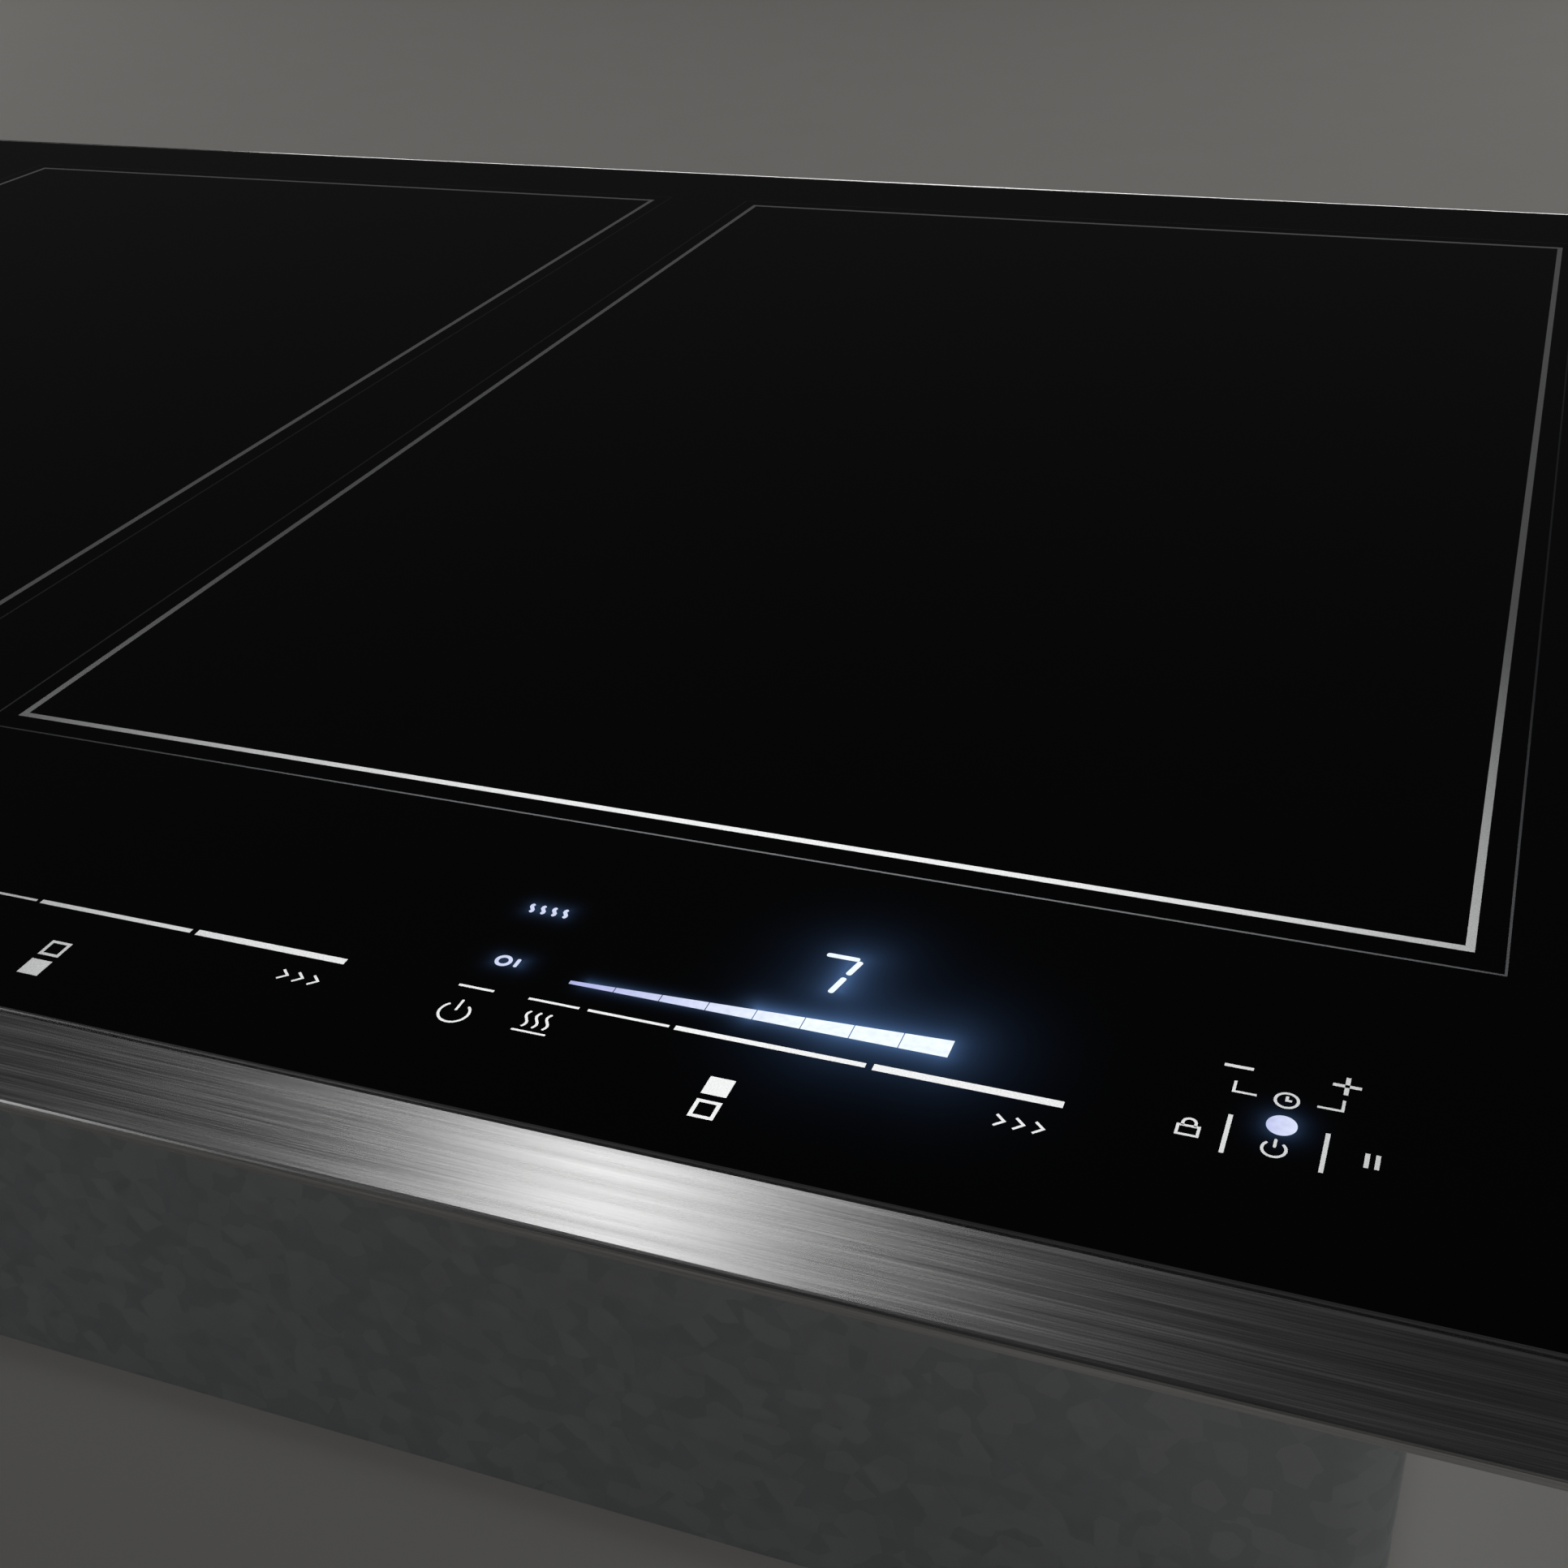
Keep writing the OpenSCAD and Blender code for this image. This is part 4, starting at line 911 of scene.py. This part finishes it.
class COOKTOP_OT_coils(bpy.types.Operator):
    """Winds each coil from litz wire and coils its springs from round wire"""

    bl_idname = "cooktop.coils"
    bl_label = "Coils"

    def execute(self, context):
        steel = bright_metal("spring_steel_wire", "#c8cbce", "#a9adb2")
        litz_r, inner, per_turn, gap, spring_r = 2.1 * MM, 24 * MM, 48, 1.04, 0.6 * MM
        for coil in COIL_NAMES:
            low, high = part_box(f"{coil}_winding")
            centre = Vector(((low[0] + high[0]) / 2, (low[1] + high[1]) / 2, (low[2] + high[2]) / 2))
            outer = (high[0] - low[0]) / 2
            room = outer - inner - 2 * litz_r
            turns = int(room / (2 * gap * litz_r))
            step = room / turns
            spiral = [turned(centre.x, centre.y, inner + litz_r + step * i / per_turn, 2 * pi * i / per_turn,
                             centre.z) for i in range(turns * per_turn + 1)]
            bm = bmesh.new()
            sweep(bm, [spiral], litz_r, sides=2)
            make_piece(f"{coil}_litz_spiral", bm, litz_copper(centre), body=coil,
                       replaces=[f"{coil}_winding"], smooth=True)
            bm = bmesh.new()
            paths, top = [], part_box(f"{coil}_springs")[1][2]
            for s_low, s_high in loose_boxes(f"{coil}_springs"):
                x, y = (s_low.x + s_high.x) / 2, (s_low.y + s_high.y) / 2
                r = min(s_high.x - s_low.x, s_high.y - s_low.y) / 2 - spring_r
                paths.append(spring_path(x, y, r, s_low.z + spring_r, s_high.z - spring_r, 2.2 * spring_r))
            sweep(bm, paths, spring_r, sides=1)
            made = make_piece(f"{coil}_wire_springs", bm, steel,
                              replaces=[f"{coil}_springs"], smooth=True)
            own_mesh(made)
        return {"FINISHED"}


class COOKTOP_OT_blowers(bpy.types.Operator):
    """Replaces the plain blower wheels with wheels of curved blades"""

    bl_idname = "cooktop.blowers"
    bl_label = "Blower Wheels"

    def execute(self, context):
        finish = moulded_plastic("moulded_black_nylon", "#17181a", "#232427", 0.42)
        blades, depth = 30, 8 * MM
        for side in ("left", "right"):
            low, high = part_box(f"blower_{side}_wheel")
            centre = Vector(((low[0] + high[0]) / 2, (low[1] + high[1]) / 2, low[2]))
            outer, tall = (high[0] - low[0]) / 2, high[2] - low[2]
            bm = bmesh.new()
            for i in range(blades):
                blade = bm.edges.new([bm.verts.new((outer - depth, 0, z)) for z in (0.5 * MM, tall)])
                bmesh.ops.spin(bm, geom=[blade, *blade.verts], cent=(outer - 3.5 * MM, 7 * MM, 0),
                               axis=(0, 0, 1), angle=radians(62), steps=6, use_duplicate=False)
                faces = [f for f in bm.faces if not f.tag]
                thick = bmesh.ops.solidify(bm, geom=faces, thickness=0.9 * MM)["geom"]
                for f in bm.faces:
                    f.tag = True
                fresh = {v for f in faces + thick if isinstance(f, bmesh.types.BMFace) for v in f.verts}
                bmesh.ops.rotate(bm, verts=list(fresh), cent=(0, 0, 0),
                                 matrix=Matrix.Rotation(2 * pi * i / blades, 3, "Z"))
            bmesh.ops.translate(bm, verts=bm.verts, vec=centre)
            # The foot ring, the disc that carries the blades, and the hub
            for z, inner, reach, thick in (
                    (low[2], outer - depth - 0.5 * MM, outer - 0.2 * MM, 1.8 * MM),
                    (low[2] + tall * 0.32, 1.7 * MM, outer - 0.2 * MM, 1.4 * MM),
                    (low[2], 1.6 * MM, 13 * MM, tall * 0.34)):
                ring(bm, centre.x, centre.y, z, inner, reach, thick)
            make_piece(f"blower_{side}_curved_wheel", bm, finish, body=f"blower_{side}",
                       replaces=[f"blower_{side}_wheel"], smooth=True)
        return {"FINISHED"}


class COOKTOP_OT_electronics(bpy.types.Operator):
    """Winds the chokes on ring cores, gives the transistors legs and the boards their small parts"""

    bl_idname = "cooktop.electronics"
    bl_label = "Electronics"

    def execute(self, context):
        wire_r, lift = 0.7 * MM, 1.27
        cores, coils, paths = bmesh.new(), bmesh.new(), []
        for low, high in loose_boxes("chokes"):
            middle = (low + high) / 2
            tube = (high.z - low.z) / 2
            ring_r = (high.x - low.x) / 2 - tube
            core = tube - 2 * wire_r
            ring(cores, middle.x, middle.y, middle.z - core, ring_r - core, ring_r + core, 2 * core)
            paths.append(helix_on_ring(middle.x, middle.y, middle.z, ring_r, (core + wire_r) * lift, 20))
        bmesh.ops.remove_doubles(cores, verts=cores.verts, dist=1e-6)
        bmesh.ops.bevel(cores, geom=[e for e in cores.edges if e.calc_face_angle(0) > 1], offset=1.2 * MM,
                        segments=3, profile=0.5, affect="EDGES", material=-1)
        sweep(coils, paths, wire_r, sides=1)
        make_piece("choke_cores", cores, moulded_plastic("coated_iron_powder", "#3f5a3c", "#4c6b48", 0.55),
                   replaces=["chokes"], smooth=True)
        make_piece("choke_turns", coils, "enamelled_copper_wire",
                   replaces=["chokes"], smooth=True)

        board_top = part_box("heat_sinks")[0][2]
        legs = bmesh.new()
        pitch, half_w, half_t = 5.4 * MM, 0.6 * MM, 0.3 * MM
        for low, high in loose_boxes("transistors"):
            x, y = (low.x + high.x) / 2, (low.y + high.y) / 2
            for leg_x in (x - pitch, x, x + pitch):
                block(legs, (leg_x - half_w, y - half_t, board_top),
                      (leg_x + half_w, y + half_t, low.z + 0.5 * MM))
            # The screw that holds it to the heat sink
            drum(legs, (x, low.y + 0.1 * MM, high.z - 4.5 * MM), 3 * MM, 1.6 * MM, segments=24, axis=(0, -1, 0),
                 ease=0.4 * MM)
        make_piece("transistor_legs", legs, "zinc_plated_steel", smooth=True)

        headers, chips = bmesh.new(), bmesh.new()
        for node in ("power_boards", "filter_board"):
            for low, high in loose_boxes(node):
                self.fill_board(headers, chips, low, high, len(headers.verts))
        make_piece("board_connectors", headers, "moulded_white_polyamide")
        make_piece("board_chips", chips, "moulded_black_epoxy")
        return {"FINISHED"}

    def fill_board(self, headers, chips, low, high, seed):
        """Connectors along the rear edge of a board and chips along its front edge."""
        pick = Random(seed)
        top = high.z
        x = low.x + 26 * MM
        while x < high.x - 40 * MM:
            w = pick.choice((8, 11, 14)) * MM
            block(headers, (x, high.y - 9 * MM, top), (x + w, high.y - 3 * MM, top + 8 * MM), ease=0.5 * MM)
            x += w + pick.choice((5, 9)) * MM
        x = low.x + 70 * MM
        while x < high.x - 76 * MM:
            w = pick.choice((5, 7)) * MM
            block(chips, (x, low.y + 4 * MM, top), (x + w, low.y + 4 * MM + 0.7 * w, top + 1.6 * MM),
                  ease=0.3 * MM)
            x += w + pick.choice((4, 8)) * MM


# ---------------------------------------------------------------- operators: finishes and stage

class COOKTOP_OT_finishes(bpy.types.Operator):
    """Gives every frame node that stays visible its material"""

    bl_idname = "cooktop.finishes"
    bl_label = "Finishes"

    def execute(self, context):
        sheet, board = galvanised_sheet(), solder_mask()
        carrier = moulded_plastic("moulded_heat_resistant_polyester", "#cfc9b6", "#ddd8c8", 0.5)
        white = moulded_plastic("moulded_white_polyamide", "#dcdcd6", "#e9e9e4", 0.45)
        housing = moulded_plastic("moulded_black_pbt", "#1a1b1d", "#26272a", 0.45)
        mica = pressed_mica()
        ferrite = sintered_ferrite()
        chosen = {
            "glass_top": polished_ceramic_glass(),
            "front_strip": brushed_stainless_steel(),
            "glass_adhesive": rubbery("cured_black_silicone", "#1b1b1c", "#252526", 1.2 * MM, 0.04 * MM),
            "counter_seal": rubbery("closed_cell_foam_tape", "#242527", "#333437", 0.7 * MM, 0.15 * MM),
            "support_frame": galvanised_sheet("galvanised_frame_sheet", "#b2b6b9", "#989ca0"),
            "base_pan": sheet,
            "terminal_cover": sheet,
            "intake_grilles": powder_coat(),
            "conduit_connector": die_cast_zinc(),
            "conduit_locknut": bright_metal("yellow_zinc_plated_steel", "#c8b987", "#a99a6a"),
            "terminal_block": moulded_plastic("moulded_phenolic", "#c9c2ae", "#d8d2c1", 0.4),
            "clamp_brackets": bright_metal("zinc_plated_bracket", "#bfc3c7", "#a4a9ae"),
            "coil_deck": mill_aluminium(),
            "control_tray": white,
            "control_boards": board,
            "light_guides": white,
            "touch_pads": rubbery("conductive_foam", "#3a3c3f", "#4a4c50", 0.5 * MM, 0.1 * MM),
            "power_boards": board,
            "filter_board": board,
            "heat_sinks": mill_aluminium("extruded_aluminium", "#cfd2d5", "#bcc0c4", (0.03, 1, 1)),
            "transistors": moulded_plastic("moulded_black_epoxy", "#1c1c1f", "#29292c", 0.4),
            "capacitors": moulded_plastic("cast_epoxy_box", "#b58a22", "#c99d33", 0.3),
            "chokes": bright_metal("enamelled_copper_wire", "#b8703a", "#93552a"),
            "blower_left_housing": housing,
            "blower_right_housing": housing,
            "wiring": rubbery("silicone_lead_jacket", "#8f1d19", "#a92a24", 0.6 * MM, 0.02 * MM),
        }
        chosen["rear_strip"] = chosen["front_strip"]
        for coil in COIL_NAMES:
            chosen.update({f"{coil}_carrier": carrier, f"{coil}_mica": mica, f"{coil}_ferrites": ferrite})
        for node, finish in chosen.items():
            slots = frame["nodes"][node].material_slots
            if not slots:
                frame["nodes"][node].data.materials.append(finish)
            for slot in slots:
                slot.material = finish
        return {"FINISHED"}


def hang(light, place, aim, reached):
    """Hangs a light that looks at a point and reaches only some objects, so it leaves no pool on the floor."""
    lamp = bpy.data.objects.new(light.name, light)
    place = Vector(place)
    turn = (place - Vector(aim)).to_track_quat("Z", "Y").to_matrix().to_4x4()
    lamp.matrix_world = Matrix.Translation(place) @ turn
    bpy.context.scene.collection.objects.link(lamp)
    lit = bpy.data.collections.new(lamp.name + "_reach")
    for o in reached:
        lit.objects.link(o)
    lamp.light_linking.receiver_collection = lit


def soft_box(name, place, aim, width, depth, watts, reached):
    """A soft box light of one size and power."""
    light = bpy.data.lights.new(name, "AREA")
    light.shape, light.size, light.size_y, light.energy = "RECTANGLE", width, depth, watts
    hang(light, place, aim, reached)


class COOKTOP_OT_stage(bpy.types.Operator):
    """Lays the floor, sets the lights and stands the camera where the cook's hand would be"""

    bl_idname = "cooktop.stage"
    bl_label = "Stage"

    def execute(self, context):
        scene, stage = context.scene, context.scene.cooktop_stage
        bm = bmesh.new()
        bmesh.ops.create_grid(bm, x_segments=1, y_segments=1, size=stage.floor / 2)
        mesh = bpy.data.meshes.new("studio_floor")
        bm.to_mesh(mesh)
        bm.free()
        made, tree, shader, place = start_finish("matt_floor", hex_of(stage.floor_colour), roughness=0.85)
        mottle(tree, shader, place, 40 * MM, 0.8, 0.95)
        mesh.materials.append(made)
        floor = bpy.data.objects.new("studio_floor", mesh)
        scene.collection.objects.link(floor)

        nodes = frame["nodes"]
        strips = [nodes["front_strip"], nodes["rear_strip"]]
        case = [nodes[n] for n in ("base_pan", "support_frame", "counter_seal", "terminal_cover",
                                   "conduit_connector", "conduit_locknut", "clamp_brackets", "rear_strip")]
        glass = [nodes["glass_top"]]
        ink = [o for o in scene.objects if o.name.endswith(("_marks", "_frames", "_outlines"))]
        rest = [o for o in scene.objects if o.type == "MESH" and o not in glass + ink]
        soft_box("strip_box", (-0.06, -0.3, 1.1), (-0.06, -0.3, 0), 0.14, 0.8, 1.05, strips)
        soft_box("case_box", (0, 3.0, 0.5), (0, 0, 0.05), 4.0, 1.0, 60, case)
        # The glass would mirror the fills at full strength, and the print would outshine its own key
        # light, so both get dimmed copies of them.
        shares = (("", rest, 1.0), ("_in_glass", glass, 0.08), ("_on_ink", ink, 0.35))
        for name, place, watts in (("right_box", (2.0, -1.5, 0.8), 7), ("left_box", (-1.9, -1.6, 0.8), 8),
                                   ("rear_right_box", (2.0, 1.4, 0.9), 13),
                                   ("rear_left_box", (-2.4, 0.6, 0.9), 13)):
            for suffix, reached, share in shares:
                soft_box(name + suffix, place, (0, 0, 0.05), 1.4, 1.2, watts * share, reached)
        key = bpy.data.lights.new("key_spot", "SPOT")
        key.energy, key.spot_size, key.spot_blend, key.shadow_soft_size = 82, radians(13.5), 1.0, 0.05
        hang(key, (0.2, 0.38, 1.3), (0.328, -0.215, GLASS_TOP), ink)

        world = bpy.data.worlds.new("studio")
        world.use_nodes = True
        tree = world.node_tree
        tree.nodes["Background"].inputs["Color"].default_value = (1, 1, 1, 1)
        tree.nodes["Background"].inputs["Strength"].default_value = 0.02
        scene.world = world
        scene.view_settings.view_transform = "Standard"

        camera = bpy.data.cameras.new("camera")
        camera.sensor_width = 36
        camera.lens = stage.lens
        camera.clip_start = 0.005
        holder = bpy.data.objects.new("camera", camera)
        level = Vector((cos(stage.yaw), sin(stage.yaw), 0))
        ahead = Vector((-sin(stage.yaw), cos(stage.yaw), 0))
        drop = Vector((0, 0, -1))
        forward = cos(stage.pitch) * ahead + sin(stage.pitch) * drop
        under = -sin(stage.pitch) * ahead + cos(stage.pitch) * drop
        right = cos(stage.roll) * level - sin(stage.roll) * under
        down = sin(stage.roll) * level + cos(stage.roll) * under
        place = Vector((zone_right() - stage.camera_in, GLASS_LOW[1] - stage.camera_out,
                        GLASS_TOP + stage.camera_h))
        turn = Matrix((right, -down, -forward)).transposed().to_4x4()
        holder.matrix_world = Matrix.Translation(place) @ turn
        scene.collection.objects.link(holder)
        scene.camera = holder
        return {"FINISHED"}


class COOKTOP_PT_panel(bpy.types.Panel):
    """Lists the operators in the sidebar"""

    bl_idname = "COOKTOP_PT_panel"
    bl_label = "Induction Cooktop"
    bl_space_type = "VIEW_3D"
    bl_region_type = "UI"
    bl_category = "Cooktop"

    def draw(self, context):
        for operator in OPERATORS:
            self.layout.operator(operator.bl_idname)
        for group in ("cooktop_print", "cooktop_display", "cooktop_stage"):
            box = self.layout.box()
            settings = getattr(context.scene, group)
            for name in settings.__annotations__:
                box.prop(settings, name)


OPERATORS = (
    COOKTOP_OT_zone_frames,
    COOKTOP_OT_slider_marks,
    COOKTOP_OT_key_marks,
    COOKTOP_OT_lit_display,
    COOKTOP_OT_finishes,
    COOKTOP_OT_screws,
    COOKTOP_OT_clamp_screws,
    COOKTOP_OT_coils,
    COOKTOP_OT_blowers,
    COOKTOP_OT_electronics,
    COOKTOP_OT_stage,
)
SETTINGS = (CooktopPrint, CooktopDisplay, CooktopStage)


def register():
    for kind in SETTINGS + OPERATORS + (COOKTOP_PT_panel,):
        bpy.utils.register_class(kind)
    bpy.types.Scene.cooktop_print = PointerProperty(type=CooktopPrint)
    bpy.types.Scene.cooktop_display = PointerProperty(type=CooktopDisplay)
    bpy.types.Scene.cooktop_stage = PointerProperty(type=CooktopStage)


def unregister():
    for name in ("cooktop_print", "cooktop_display", "cooktop_stage"):
        delattr(bpy.types.Scene, name)
    for kind in reversed(SETTINGS + OPERATORS + (COOKTOP_PT_panel,)):
        bpy.utils.unregister_class(kind)


def main():
    register()
    for operator in OPERATORS:
        group, name = operator.bl_idname.split(".")
        getattr(getattr(bpy.ops, group), name)()


if __name__ == "__main__":
    main()
